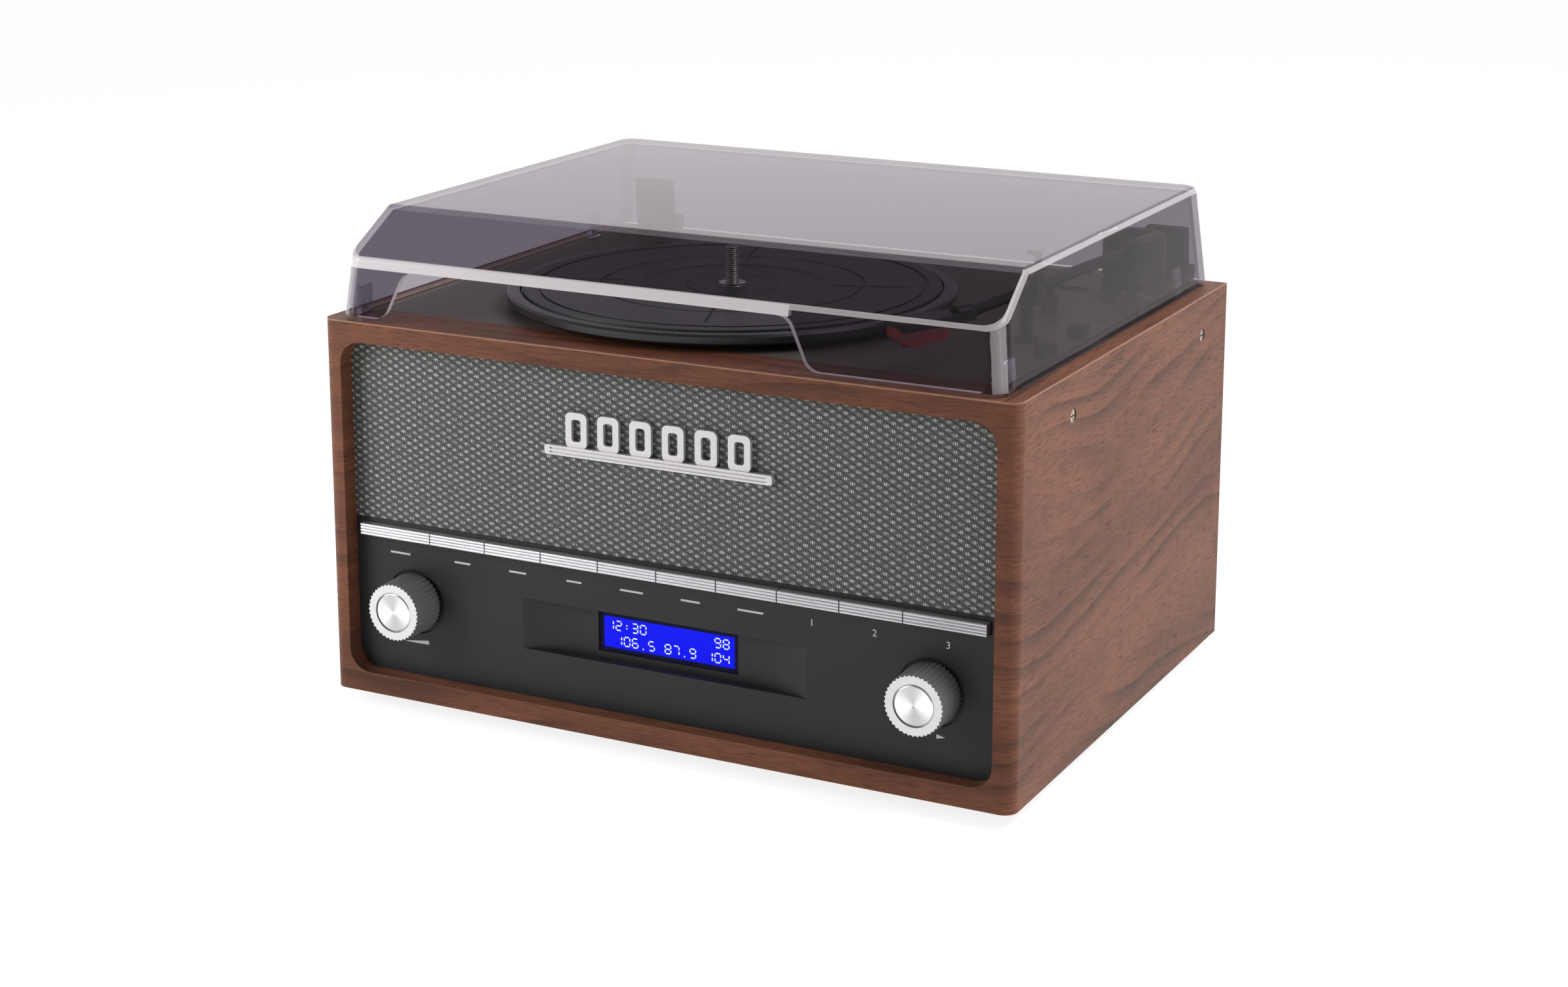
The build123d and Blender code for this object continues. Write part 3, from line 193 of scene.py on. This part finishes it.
pored = (pores.rise(0.57, 0.66) * 0.6).tinted(ringed, colour(64, 42, 35))
# painted highlight: the film is coloured pale along the sharp upper edges, where they catch the light
edge_reach = 0.0006
near_top = z > wood_high.z - edge_reach
near_front = y < wood_low.y + edge_reach
near_side = abs(x) > wood_high.x - edge_reach
painted_edge_highlight = near_top * (1 - level) + level * near_front.larger(near_side)
finished = (painted_edge_highlight * 0.55).tinted(pored, colour(196, 150, 124))
surface(walnut, Base_Color=finished, Roughness=0.46 + pores.rise(0.5, 0.7) * 0.2, Specular_IOR_Level=0.2,
        Normal=(1 - pores.rise(0.55, 0.7)).bump(0.00005))
finish_nodes(walnut, "cabinet_shell")


# ---------------------------------------------------------------- feet and screws
# Black rubber feet, each held by a countersunk screw, and bright screws through the sides that hold
# the deck. The screws are turned and zinc plated.

rubber, place, facing = material_and_place("foot_rubber")
speckle = place.noise(900.0, 3.0)
surface(rubber, Base_Color=speckle.tinted(colour(16, 16, 17), colour(30, 30, 31)),
        Roughness=0.7 + speckle * 0.2, Normal=speckle.bump(0.00005))
finish_nodes(rubber, "rubber_feet")

zinc, place, facing = material_and_place("zinc_plate")
cloud = place.noise(500.0, 2.0)
surface(zinc, Base_Color=cloud.tinted(colour(196, 190, 182), colour(226, 222, 216)), Metallic=1.0,
        Roughness=0.22 + cloud * 0.16)
finish_nodes(zinc, "case_screws", "side_screws")


# ---------------------------------------------------------------- back of the cabinet
# Black fibreboard with vents, pressed with a fine fabric texture. The socket plate and the inlet
# are moulded; the phono sockets have nickel sleeves round coloured insulators.

fibreboard, place, facing = material_and_place("black_fibreboard")
fibres = place.stretched(260.0, 260.0, 900.0).noise(1.0, 4.0, 0.65)
surface(fibreboard, Base_Color=fibres.tinted(colour(20, 19, 19), colour(46, 44, 43)),
        Roughness=0.75 + fibres * 0.15, Normal=fibres.bump(0.00012))
finish_nodes(fibreboard, "back_panel", "speaker_baffle")

moulded, place, facing = material_and_place("black_moulded")
spark = place.noise(1600.0, 3.0)
surface(moulded, Base_Color=spark.tinted(colour(17, 17, 18), colour(27, 27, 28)),
        Roughness=0.46 + spark * 0.14, Normal=spark.bump(0.00003))
finish_nodes(moulded, "mains_inlet", "tune_rotor", "speed_selector", "stop_switch", "hinge_leaves",
             "hinge_bases", "record_adapter")

socket_plate, place, facing = material_and_place("socket_plate")
x, y, z = place.parts()
plate_low, plate_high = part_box("rear_sockets")
sleeve_reach = 0.0065
sleeve_front = plate_high.y - sleeve_reach
stands_out = y > sleeve_front + 0.0004
ring_spacing = 0.018
ring_x = [(plate_low.x + plate_high.x) / 2 + step * ring_spacing for step in (-1, 0, 1)]
ring_z = (plate_low.z + plate_high.z) / 2
at_end = y > plate_high.y - 0.0001


def from_axis(x, z, centre):
    """Distance from an axis along Y through (centre, ring_z)."""
    return x.maths("SQRT", (x - centre) * (x - centre) + (z - ring_z) * (z - ring_z))


insulator_radius = 0.0030
reddish = at_end * (from_axis(x, z, ring_x[0]) < insulator_radius)
whitish = at_end * (from_axis(x, z, ring_x[1]) < insulator_radius)
darkish = at_end * (from_axis(x, z, ring_x[2]) < insulator_radius)
insulated = reddish + whitish + darkish
spark = place.noise(1400.0, 3.0)
plain = stands_out.tinted(colour(20, 20, 21), colour(206, 204, 200))
with_red = reddish.tinted(plain, colour(170, 24, 26))
with_white = whitish.tinted(with_red, colour(232, 230, 224))
with_dark = darkish.tinted(with_white, colour(30, 30, 32))
surface(socket_plate, Base_Color=with_dark, Metallic=stands_out * (1 - insulated),
        Roughness=0.3 + spark * 0.2)
finish_nodes(socket_plate, "rear_sockets")


# ---------------------------------------------------------------- control panel
# One moulding in matt graphite, with a scooped recess round the display. The marks under the
# buttons are printed in pale grey: plain bars, and plain numbers under the last three.

graphite, place, facing = material_and_place("graphite_panel")
spark = place.noise(2400.0, 2.0)
mottle = place.noise(18.0, 2.0)
surface(graphite, Base_Color=(spark * 0.7 + mottle * 0.3).tinted(colour(30, 30, 31), colour(42, 42, 43)),
        Roughness=0.46 + spark * 0.10, Specular_IOR_Level=0.35, Normal=spark.bump(0.00002))
finish_nodes(graphite, "front_panel")

print_ink, place, facing = material_and_place("pale_print")
grit = place.noise(3000.0, 1.0)
surface(print_ink, Base_Color=grit.tinted(colour(186, 188, 190), colour(214, 216, 218)), Roughness=0.5)

panel_low, panel_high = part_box("front_panel")
print_rise = 0.00006
print_y = panel_low.y - print_rise


def piece_from(mesh, name, material, body):
    """An object from a finished mesh, in place and riding on a body."""
    piece = bpy.data.objects.new(name, mesh)
    bpy.context.scene.collection.objects.link(piece)
    piece.data.materials.append(material)
    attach(piece, body)
    return piece


def printed(name, corners):
    """A flat print on the panel, from (x, z) corners."""
    sheet = bmesh.new()
    sheet.faces.new([sheet.verts.new((x, print_y, z)) for x, z in corners])
    mesh = bpy.data.meshes.new(name)
    sheet.to_mesh(mesh)
    sheet.free()
    return piece_from(mesh, name, print_ink, "cabinet")


def printed_number(name, text, x, z, size):
    """A plain number printed on the panel, centred on (x, z)."""
    letters = bpy.data.curves.new(name, "FONT")
    letters.body = text
    letters.size = size
    letters.align_x = "CENTER"
    letters.align_y = "CENTER"
    holder = bpy.data.objects.new(name + "_text", letters)
    mesh = bpy.data.meshes.new_from_object(holder)
    bpy.data.objects.remove(holder)
    for vertex in mesh.vertices:
        across_x, up_z, _ = vertex.co
        vertex.co = (x + across_x, print_y, z + up_z)
    mesh.name = name
    return piece_from(mesh, name, print_ink, "cabinet")


mark_drop = 0.0118
mark_height = 0.0010
number_size = 0.0050
mark_widths = [0.0120, 0.0095, 0.0100, 0.0085, 0.0130, 0.0105, 0.0140]
for number in range(1, 11):
    low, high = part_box(f"button_{number:02d}")
    x = (low.x + high.x) / 2
    z = (low.z + high.z) / 2 - mark_drop
    if number > len(mark_widths):
        plain_number = str(number - len(mark_widths))
        printed_number(f"preset_number_{plain_number}", plain_number, x, z, number_size)
    else:
        half = mark_widths[number - 1] / 2
        top = z + mark_height
        printed(f"button_mark_{number:02d}", [(x - half, z), (x + half, z), (x + half, top), (x - half, top)])

knob_mark_drop = 0.0222
wedge_half = 0.0075
wedge_height = 0.0022
wedge_base = 0.0030
for knob in ("volume_knob", "tune_knob"):
    low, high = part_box(knob)
    x = (low.x + high.x) / 2
    z = (low.z + high.z) / 2 - knob_mark_drop
    if knob == "volume_knob":
        printed("volume_mark", [(x - wedge_half, z), (x + wedge_half, z), (x + wedge_half, z + wedge_height)])
    else:
        tip_z, top = z + wedge_height / 2, z + wedge_height
        printed("tuning_mark_left", [(x - wedge_half, tip_z), (x - wedge_base, z), (x - wedge_base, top)])
        printed("tuning_mark_right", [(x + wedge_base, z), (x + wedge_half, tip_z), (x + wedge_base, top)])


# ---------------------------------------------------------------- bar buttons and badge bar
# Ten bars of silver metallised plastic with level ribs, and the badge bar over the cloth in the
# same finish, a little paler and satin.

silver, place, facing = material_and_place("silver_metallised")
streak = place.stretched(40.0, 40.0, 1800.0).noise(1.0, 2.0)
surface(silver, Base_Color=streak.tinted(colour(200, 201, 204), colour(222, 223, 225)), Metallic=0.85,
        Roughness=0.30 + streak * 0.08)
finish_nodes(silver, *[f"button_{number:02d}" for number in range(1, 11)])

satin, place, facing = material_and_place("satin_badge")
grit = place.noise(2600.0, 2.0)
surface(satin, Base_Color=grit.tinted(colour(206, 204, 203), colour(228, 226, 225)), Metallic=0.55,
        Roughness=0.36 + grit * 0.08, Normal=grit.bump(0.00001))
finish_nodes(satin, "badge_bar")


# ---------------------------------------------------------------- display
# A clear window over a blue, lit module. The dots are pale squares in rows of cells, which show
# plain numbers; each number is made of straight strokes on a grid of five by seven dots.

window_low, window_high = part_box("lcd_window")
module_glow, place, facing = material_and_place("display_glow")
x, y, z = place.parts()
window_x = (window_low.x + window_high.x) / 2
window_z = (window_low.z + window_high.z) / 2
lit_half_x = (window_high.x - window_low.x) / 2 - 0.0026
lit_half_z = (window_high.z - window_low.z) / 2 - 0.0022
fade = 0.0003
inside = (1 - abs(x - window_x).rise(lit_half_x - fade, lit_half_x + fade)) * (
    1 - abs(z - window_z).rise(lit_half_z - fade, lit_half_z + fade))
in_front = y < window_high.y + 0.0004
glow = place.stretched(14.0, 1.0, 30.0).noise(1.0, 1.0)
lit = inside * in_front
blue = glow.tinted(colour(0, 4, 182), colour(6, 14, 208))
surface(module_glow, Base_Color=lit.tinted(colour(8, 8, 16), colour(4, 6, 40)), Roughness=0.5,
        Specular_IOR_Level=0.1, Emission_Color=lit.tinted(colour(4, 4, 26), blue), Emission_Strength=1.7)
finish_nodes(module_glow, "lcd_module")

clear, place, facing = material_and_place("display_window")
haze = place.noise(60.0, 1.0)
surface(clear, Base_Color=haze.tinted(colour(10, 12, 50), colour(14, 16, 60)), Roughness=0.06,
        Alpha=0.05 + haze * 0.02, Specular_IOR_Level=0.25)
finish_nodes(clear, "lcd_window")

dots_white, place, facing = material_and_place("display_dots")
flicker = place.noise(300.0, 1.0)
surface(dots_white, Base_Color=colour(215, 225, 250), Roughness=0.5,
        Emission_Color=flicker.tinted(colour(176, 190, 246), colour(208, 220, 255)), Emission_Strength=0.9)

strokes = {"a": [(1, 6), (2, 6), (3, 6)], "b": [(4, 5), (4, 4)], "c": [(4, 2), (4, 1)],
           "d": [(1, 0), (2, 0), (3, 0)], "e": [(0, 2), (0, 1)], "f": [(0, 5), (0, 4)],
           "g": [(1, 3), (2, 3), (3, 3)], ".": [(2, 0)], ":": [(2, 4), (2, 2)]}
numerals = {"0": "abcdef", "1": "bc", "2": "abged", "3": "abgcd", "4": "fgbc", "5": "afgcd", "6": "afgedc",
            "7": "abc", "8": "abcdefg", "9": "abcdfg", ".": ".", ":": ":", " ": ""}
lines = ["12:30        98", " 106.5 87.9 104"]
dot_pitch = 0.00078
dot_size = 0.00068
cell_pitch = 0.00465
line_pitch = 0.0077
dots_y = window_high.y - 0.00015
dots = bmesh.new()
for row, line in enumerate(lines):
    for column, numeral in enumerate(line):
        left = window_x + (column - len(line) / 2) * cell_pitch
        low = window_z + (0.5 - row) * line_pitch - 3.5 * dot_pitch
        for stroke in numerals[numeral]:
            for dot_x, dot_z in strokes[stroke]:
                x = left + dot_x * dot_pitch
                z = low + dot_z * dot_pitch
                corners = [(x, z), (x + dot_size, z), (x + dot_size, z + dot_size), (x, z + dot_size)]
                dots.faces.new([dots.verts.new((cx, dots_y, cz)) for cx, cz in corners])
mesh = bpy.data.meshes.new("display_numbers")
dots.to_mesh(mesh)
dots.free()
piece_from(mesh, "display_numbers", dots_white, "cabinet")


# ---------------------------------------------------------------- rotary knobs
# Toothed mouldings in silver, each with a spun aluminium disc let into its face. The turning tool left fine
# rings on the disc, which spread each light into a fan; two opposite fans are also painted into the disc's
# colour, as a painted sheen. The knobs' sides are coloured darker than their faces, as painted shade.

toothed, place, facing = material_and_place("silver_knob")
grit = place.noise(2000.0, 2.0)
# painted shade: the sides are coloured darker than the forward face
painted_lit_face = facing.parts()[1] < -0.9
surface(toothed, Base_Color=painted_lit_face.tinted(colour(164, 165, 167), colour(226, 227, 228)), Metallic=0.6,
        Roughness=0.34 + grit * 0.08)
finish_nodes(toothed, "volume_knob", "tune_knob")

ring_pitch = 0.00036
for disc in ("volume_cap", "tune_cap"):
    spun, place, facing = material_and_place("spun_" + disc)
    low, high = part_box(disc)
    x, y, z = place.parts()
    from_centre_x = x - (low.x + high.x) / 2
    from_centre_z = z - (low.z + high.z) / 2
    radius = x.maths("SQRT", from_centre_x * from_centre_x + from_centre_z * from_centre_z)
    uneven = radius.node("TexNoise", {"noise_dimensions": "1D"}, {"W": radius * 5200.0})
    rings = radius.wave(ring_pitch) + uneven
    # painted sheen: the colour is lighter in two opposite fans, where the turned rings would throw the light
    painted_sheen_fan = (from_centre_x * from_centre_x - from_centre_z * from_centre_z
           + from_centre_x * from_centre_z * 1.2) / (radius * radius + 1e-7)
    rings_and_painted_sheen = (rings * 0.12 + painted_sheen_fan * 0.7).rise(-1.0, 1.0)
    surface(spun, Base_Color=rings_and_painted_sheen.tinted(colour(196, 196, 197), colour(250, 250, 250)), Metallic=1.0,
            Roughness=0.26, Normal=rings.bump(0.000012))
    finish_nodes(spun, disc)


# ---------------------------------------------------------------- grille cloth
# Cloth woven from dark yarn and bright flattened thread. The bright thread surfaces in small patches of upright
# strands. The patches stand in columns, each column half a step along from the next, and a furrow runs down to
# the right between them; the furrows are coloured darker than the yarn, as painted shade.

cloth, place, facing = material_and_place("grille_cloth")
x, y, z = place.parts()
column_pitch = 0.0069
row_pitch = 0.00395
strand_pitch = 0.00098
weft_pitch = 0.00088
sway = place.noise(60.0, 2.0) * 0.10
falling = (x / column_pitch + z / row_pitch + sway + 0.25).wave(1.0)
rising = (x / column_pitch - z / row_pitch + sway + 0.25).wave(1.0)
weave = (falling + rising) * 0.5
patch = weave.rise(0.10, 0.75)
shaded_furrow = (0 - falling).rise(0.72, 1.0)
shaded_cross_furrow = (0 - rising).rise(0.82, 1.0)
strands = (x + z * 0.12).wave(strand_pitch)
weft = (z + x * 0.25).wave(weft_pitch)
fleck = place.stretched(900.0, 900.0, 420.0).noise(1.0, 2.0, 0.6)
glint = patch * strands.rise(-0.3, 0.8) * fleck.rise(0.34, 0.60)
yarn = weft.rise(-1.0, 1.0).tinted(colour(66, 68, 67), colour(118, 120, 118))
# painted shade: the yarn is coloured darker in the furrows
furrow_shaded_yarn = (shaded_furrow * 0.7).larger(shaded_cross_furrow * 0.35).tinted(yarn, colour(38, 40, 40))
bare_patch = (patch * 0.5).tinted(furrow_shaded_yarn, colour(128, 130, 127))
threaded = glint.tinted(bare_patch, colour(250, 249, 242))
surface(cloth, Base_Color=threaded, Roughness=0.62 - glint * 0.25, Specular_IOR_Level=0.3,
        Normal=(weave * 0.5 + strands * patch * 0.2 - shaded_furrow * 0.3).bump(0.0004))
finish_nodes(cloth, "grille_cloth")


# ---------------------------------------------------------------- inside the cabinet
# Green boards with their parts, plated housings behind the knobs, black pressed loudspeakers and
# a plated motor can. They show only through the vents.

board_mask, place, facing = material_and_place("solder_mask")
contours = place.noise(160.0, 0.0) * 9.0
tracks = contours.maths("FRACT", contours)
surface(board_mask, Base_Color=tracks.rise(0.4, 0.6).tinted(colour(16, 66, 36), colour(28, 92, 50)),
        Roughness=0.35)
finish_nodes(board_mask, "main_board", "power_board", "button_board")

plated, place, facing = material_and_place("plated_housing")
cloud = place.noise(240.0, 3.0)
surface(plated, Base_Color=cloud.tinted(colour(150, 150, 150), colour(186, 185, 182)), Metallic=1.0,
        Roughness=0.3 + cloud * 0.2)
finish_nodes(plated, "volume_pot", "tune_encoder", "drive_motor")

pressed, place, facing = material_and_place("black_paper_and_steel")
fibres = place.noise(700.0, 4.0)
surface(pressed, Base_Color=fibres.tinted(colour(16, 16, 17), colour(36, 36, 38)), Roughness=0.6 + fibres * 0.2,
        Normal=fibres.bump(0.0001))
finish_nodes(pressed, "speaker_left", "speaker_right")


# ---------------------------------------------------------------- deck
# A moulded deck in warm dark grey with a fine spark texture, set into the wood. The platter stands
# in its shallow well, and the switches and the arm stand on its bosses.

deck, place, facing = material_and_place("deck_moulding")
spark = place.noise(1900.0, 3.0)
mottle = place.noise(12.0, 2.0)
surface(deck, Base_Color=(spark * 0.6 + mottle * 0.4).tinted(colour(84, 77, 73), colour(112, 104, 98)),
        Roughness=0.5 + spark * 0.14, Normal=spark.bump(0.00004))
finish_nodes(deck, "deck_plate")


# ---------------------------------------------------------------- turntable
# A black moulded platter with a polished rim, a ribbed rubber mat in it, a steel spindle, and the
# belt that drives it from a brass pulley.

platter_black, place, facing = material_and_place("platter_moulding")
grain = place.noise(800.0, 2.0)
surface(platter_black, Base_Color=grain.tinted(colour(30, 30, 31), colour(46, 46, 48)),
        Roughness=0.24 + grain * 0.1)
finish_nodes(platter_black, "platter", "inner_platter")

spindle_low, spindle_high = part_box("spindle")
spindle_x = (spindle_low.x + spindle_high.x) / 2
spindle_y = (spindle_low.y + spindle_high.y) / 2


def from_spindle(place):
    """Distance from the spindle's axis."""
    x, y, z = place.parts()
    return x.maths("SQRT", (x - spindle_x) * (x - spindle_x) + (y - spindle_y) * (y - spindle_y))


mat, place, facing = material_and_place("mat_rubber")
rib_pitch = 0.0012
ribs = from_spindle(place).wave(rib_pitch)
dust = place.noise(1100.0, 3.0)
# the ribs lighten the colour in fine rings, as painted highlights on them; the dust lightens it at random
surface(mat, Base_Color=(ribs * 0.2 + dust).rise(0.2, 1.0).tinted(colour(34, 33, 34), colour(72, 71, 73)),
        Roughness=0.36 + dust * 0.2, Normal=(ribs * 0.4 + dust * 0.3).bump(0.00010))
finish_nodes(mat, "platter_mat")

steel, place, facing = material_and_place("ribbed_spindle")
ridges = place.parts()[2].wave(0.0011)
# painted shade and painted highlights: the ridges are coloured darker in their grooves and lighter on their
# crests
surface(steel, Base_Color=ridges.rise(-1.0, 1.0).tinted(colour(120, 112, 104), colour(226, 222, 216)),
        Metallic=1.0, Roughness=0.24, Normal=ridges.bump(0.00025))
finish_nodes(steel, "spindle")

brass, place, facing = material_and_place("turned_brass")
turned = from_spindle(place).wave(0.0004)
surface(brass, Base_Color=turned.rise(-1, 1).tinted(colour(176, 142, 70), colour(206, 172, 98)),
        Metallic=1.0, Roughness=0.3)
finish_nodes(brass, "spindle_bearing", "motor_pulley")

belt, place, facing = material_and_place("belt_rubber")
dust = place.noise(1500.0, 2.0)
surface(belt, Base_Color=dust.tinted(colour(14, 14, 14), colour(26, 26, 26)), Roughness=0.65)
finish_nodes(belt, "drive_belt")


# ---------------------------------------------------------------- tonearm
# Black mouldings throughout: base, turret, tube, headshell, lift, rest and clip. The cartridge is
# a red, glossy moulding.

arm_black, place, facing = material_and_place("arm_moulding")
grain = place.noise(1300.0, 2.0)
surface(arm_black, Base_Color=grain.tinted(colour(13, 13, 14), colour(22, 22, 23)),
        Roughness=0.32 + grain * 0.12, Normal=grain.bump(0.00002))
finish_nodes(arm_black, "tonearm_base", "tonearm_gimbal", "tonearm_tube", "headshell", "lift_platform",
             "cue_lever", "arm_rest", "arm_clip")

red, place, facing = material_and_place("red_cartridge")
depth = place.noise(180.0, 2.0)
surface(red, Base_Color=depth.tinted(colour(150, 8, 22), colour(196, 20, 36)), Roughness=0.18,
        Coat_Weight=0.6)
finish_nodes(red, "cartridge")


# ---------------------------------------------------------------- dust cover
# Clear acrylic with a smoky violet tint, 3 mm thick, polished. What is behind shows darkened, and the surface
# mirrors the room where it is looked along. Sawn edges, the front bar, folds and corners are painted pale and
# opaque, as painted highlights. Four clear pads are glued in.

cover_low, cover_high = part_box("dust_cover")
wall = 0.003
cutout_reach = 0.030  # how far the cut-out's edge stands above the cover's lower edge
cutout_end = 0.072  # where the bar over the cut-out ends, from the middle
bar_low, bar_high, bar_depth = 0.0246, 0.0300, 0.0065


def see_through(name, tint, gloss_tint, least, painted_shine_share):
    """A clear tinted wall: it passes light through its tint and mirrors the room by its angle. Its sawn edges,
    front bar, folds and corners are painted pale, as painted highlights.
    """
    material, place, facing = material_and_place(name)
    tree = material.node_tree
    shade = place.noise(9.0, 1.0)
    shader = tree.nodes["Principled BSDF"]
    edge_on = place.node("LayerWeight", None, {"Blend": 0.5}, outlet=1)
    steep = edge_on * edge_on * edge_on
    polished = least + 1.3 * (steep * steep * edge_on)
    x, y, z = place.parts()
    across_x, across_y, up = facing.parts()
    low_down = z < cover_low.z + cutout_reach
    front_reach, corner_reach = 2.2 * wall, 4 * wall
    in_front_wall = (y < cover_low.y + front_reach) * (abs(x) < cover_high.x - corner_reach)
    sawn = low_down * (up < -0.9).larger(in_front_wall * (abs(across_y) < 0.5))
    at_bar_height = (z > cover_low.z + bar_low) * (z < cover_low.z + bar_high)
    bar = at_bar_height * (y < cover_low.y + bar_depth) * (x < cutout_end)
    folded = (abs(up) > 0.2) * (abs(up) < 0.8)
    corner = (abs(across_x) > 0.35) * (abs(across_y) > 0.35) * (abs(up) < 0.3)
    # painted highlights: sawn edges, the front bar, folds and corners are coloured pale and opaque
    painted_shine = sawn.larger(bar * 0.75).larger(folded * 0.45).larger(corner * 0.25)
    reflection_and_painted_shine = polished + painted_shine * painted_shine_share
    capped_reflection_and_painted_shine = reflection_and_painted_shine.maths("MINIMUM", reflection_and_painted_shine, 1.0)
    surface(material, Base_Color=shade.tinted(gloss_tint, [part * 0.96 for part in gloss_tint]),
            Metallic=1 - painted_shine.rise(0.0, 0.2), Roughness=0.03 + painted_shine * 0.3)
    clear_shader = place.node("BsdfTransparent", None, {"Color": tint})
    mixed = place.node("MixShader", None, {0: capped_reflection_and_painted_shine, 1: clear_shader})
    tree.links.new(shader.outputs[0], mixed.socket.node.inputs[2])
    tree.links.new(mixed.socket, tree.nodes["Material Output"].inputs["Surface"])
    return material


smoked = see_through("smoked_acrylic", (0.60, 0.575, 0.61, 1.0), (0.97, 0.92, 0.94, 1.0), 0.006, 0.85)
finish_nodes(smoked, "dust_cover")
pad = see_through("clear_pad", (0.86, 0.86, 0.92, 1.0), (0.96, 0.96, 1.0, 1.0), 0.22, 0.5)
finish_nodes(pad, "lid_bumpers")


# ---------------------------------------------------------------- room
# A pale floor and a white room, with three soft lamps. The floor glows a little to the camera, also
# in mirrors and through clear walls, so it stays white and still keeps the soft shadow.

floor_half = 12.0
sheet = bmesh.new()
corners = ((-1, -1), (1, -1), (1, 1), (-1, 1))
sheet.faces.new([sheet.verts.new((sx * floor_half, sy * floor_half, 0.0)) for sx, sy in corners])
mesh = bpy.data.meshes.new("floor")
sheet.to_mesh(mesh)
sheet.free()
floor = bpy.data.objects.new("floor", mesh)
bpy.context.scene.collection.objects.link(floor)
floor_white, place, facing = material_and_place("floor_white")
tree = floor_white.node_tree
faint = place.noise(3.0, 1.0)
surface(floor_white, Base_Color=faint.tinted((0.80, 0.80, 0.80, 1), (0.82, 0.82, 0.82, 1)), Roughness=0.9,
        Specular_IOR_Level=0.0)
rays = place.node("LightPath", None, None).socket.node.outputs
seen = Field(rays["Is Camera Ray"]).larger(Field(rays["Is Glossy Ray"]))
seen = seen.larger(Field(rays["Is Transmission Ray"]))
glow_strength, glow_share = 1.52, 0.55
glow = place.node("Emission", None, {"Color": (1, 1, 1, 1), "Strength": glow_strength})
mixed = place.node("MixShader", None, {0: seen * glow_share, 2: glow})
tree.links.new(tree.nodes["Principled BSDF"].outputs[0], mixed.socket.node.inputs[1])
tree.links.new(mixed.socket, tree.nodes["Material Output"].inputs["Surface"])
floor.data.materials.append(floor_white)

world = bpy.data.worlds.new("white_room")
bpy.context.scene.world = world
world.use_nodes = True
background = world.node_tree.nodes["Background"]
rays = world.node_tree.nodes.new("ShaderNodeLightPath").outputs
direction = Field(world.node_tree.nodes.new("ShaderNodeTexCoord").outputs["Generated"])
# the white backdrop stands behind and beside the object; the side with the camera is dimmer
behind = direction.parts()[1].rise(-0.45, 0.25)
dim_side, bright_side = 0.20, 0.52
room_light = dim_side + behind * (bright_side - dim_side)
seen = Field(rays["Is Camera Ray"]).larger(Field(rays["Is Transmission Ray"]))
seen = seen.larger(Field(rays["Is Glossy Ray"]) * behind)
brightness = room_light + seen * (1.0 - room_light)
world.node_tree.links.new(brightness.socket, background.inputs["Strength"])
background.inputs["Color"].default_value = (1.0, 1.0, 1.0, 1.0)


def soft_lamp(name, place, aim, width, height, power):
    """A large soft lamp at place, turned towards aim."""
    lamp = bpy.data.lights.new(name, "AREA")
    lamp.shape = "RECTANGLE"
    lamp.size = width
    lamp.size_y = height
    lamp.energy = power
    holder = bpy.data.objects.new(name, lamp)
    holder.location = place
    direction = [b - a for a, b in zip(place, aim)]
    holder.rotation_euler = Vector(direction).to_track_quat("-Z", "Y").to_euler()
    bpy.context.scene.collection.objects.link(holder)


middle = (0.0, 0.0, 0.12)
soft_lamp("lamp_over_right", (1.1, 0.1, 1.5), (0.4, 0.0, 0.0), 0.9, 0.9, 20.0)
soft_lamp("lamp_low_right", (1.4, -0.2, 0.2), middle, 0.9, 0.3, 2.5)
soft_lamp("lamp_front_left", (-0.66, -0.62, 0.42), (-0.15, -0.1, 0.1), 0.4, 0.4, 4.2)


# ---------------------------------------------------------------- camera
# Where the photograph was taken from: to the right and a little above, looking slightly down.

view = bpy.data.cameras.new("photo_camera")
view.lens = 63.5
view.sensor_width = 36.0
view.shift_y = -0.12
holder = bpy.data.objects.new("photo_camera", view)
holder.location = (0.6385, -1.2496, 0.5150)
turn_left, look_down = 27.12, 12.585
holder.rotation_euler = (math.radians(90 - look_down), 0.0, math.radians(turn_left))
bpy.context.scene.collection.objects.link(holder)
bpy.context.scene.camera = holder
bpy.context.scene.view_settings.view_transform = "Standard"
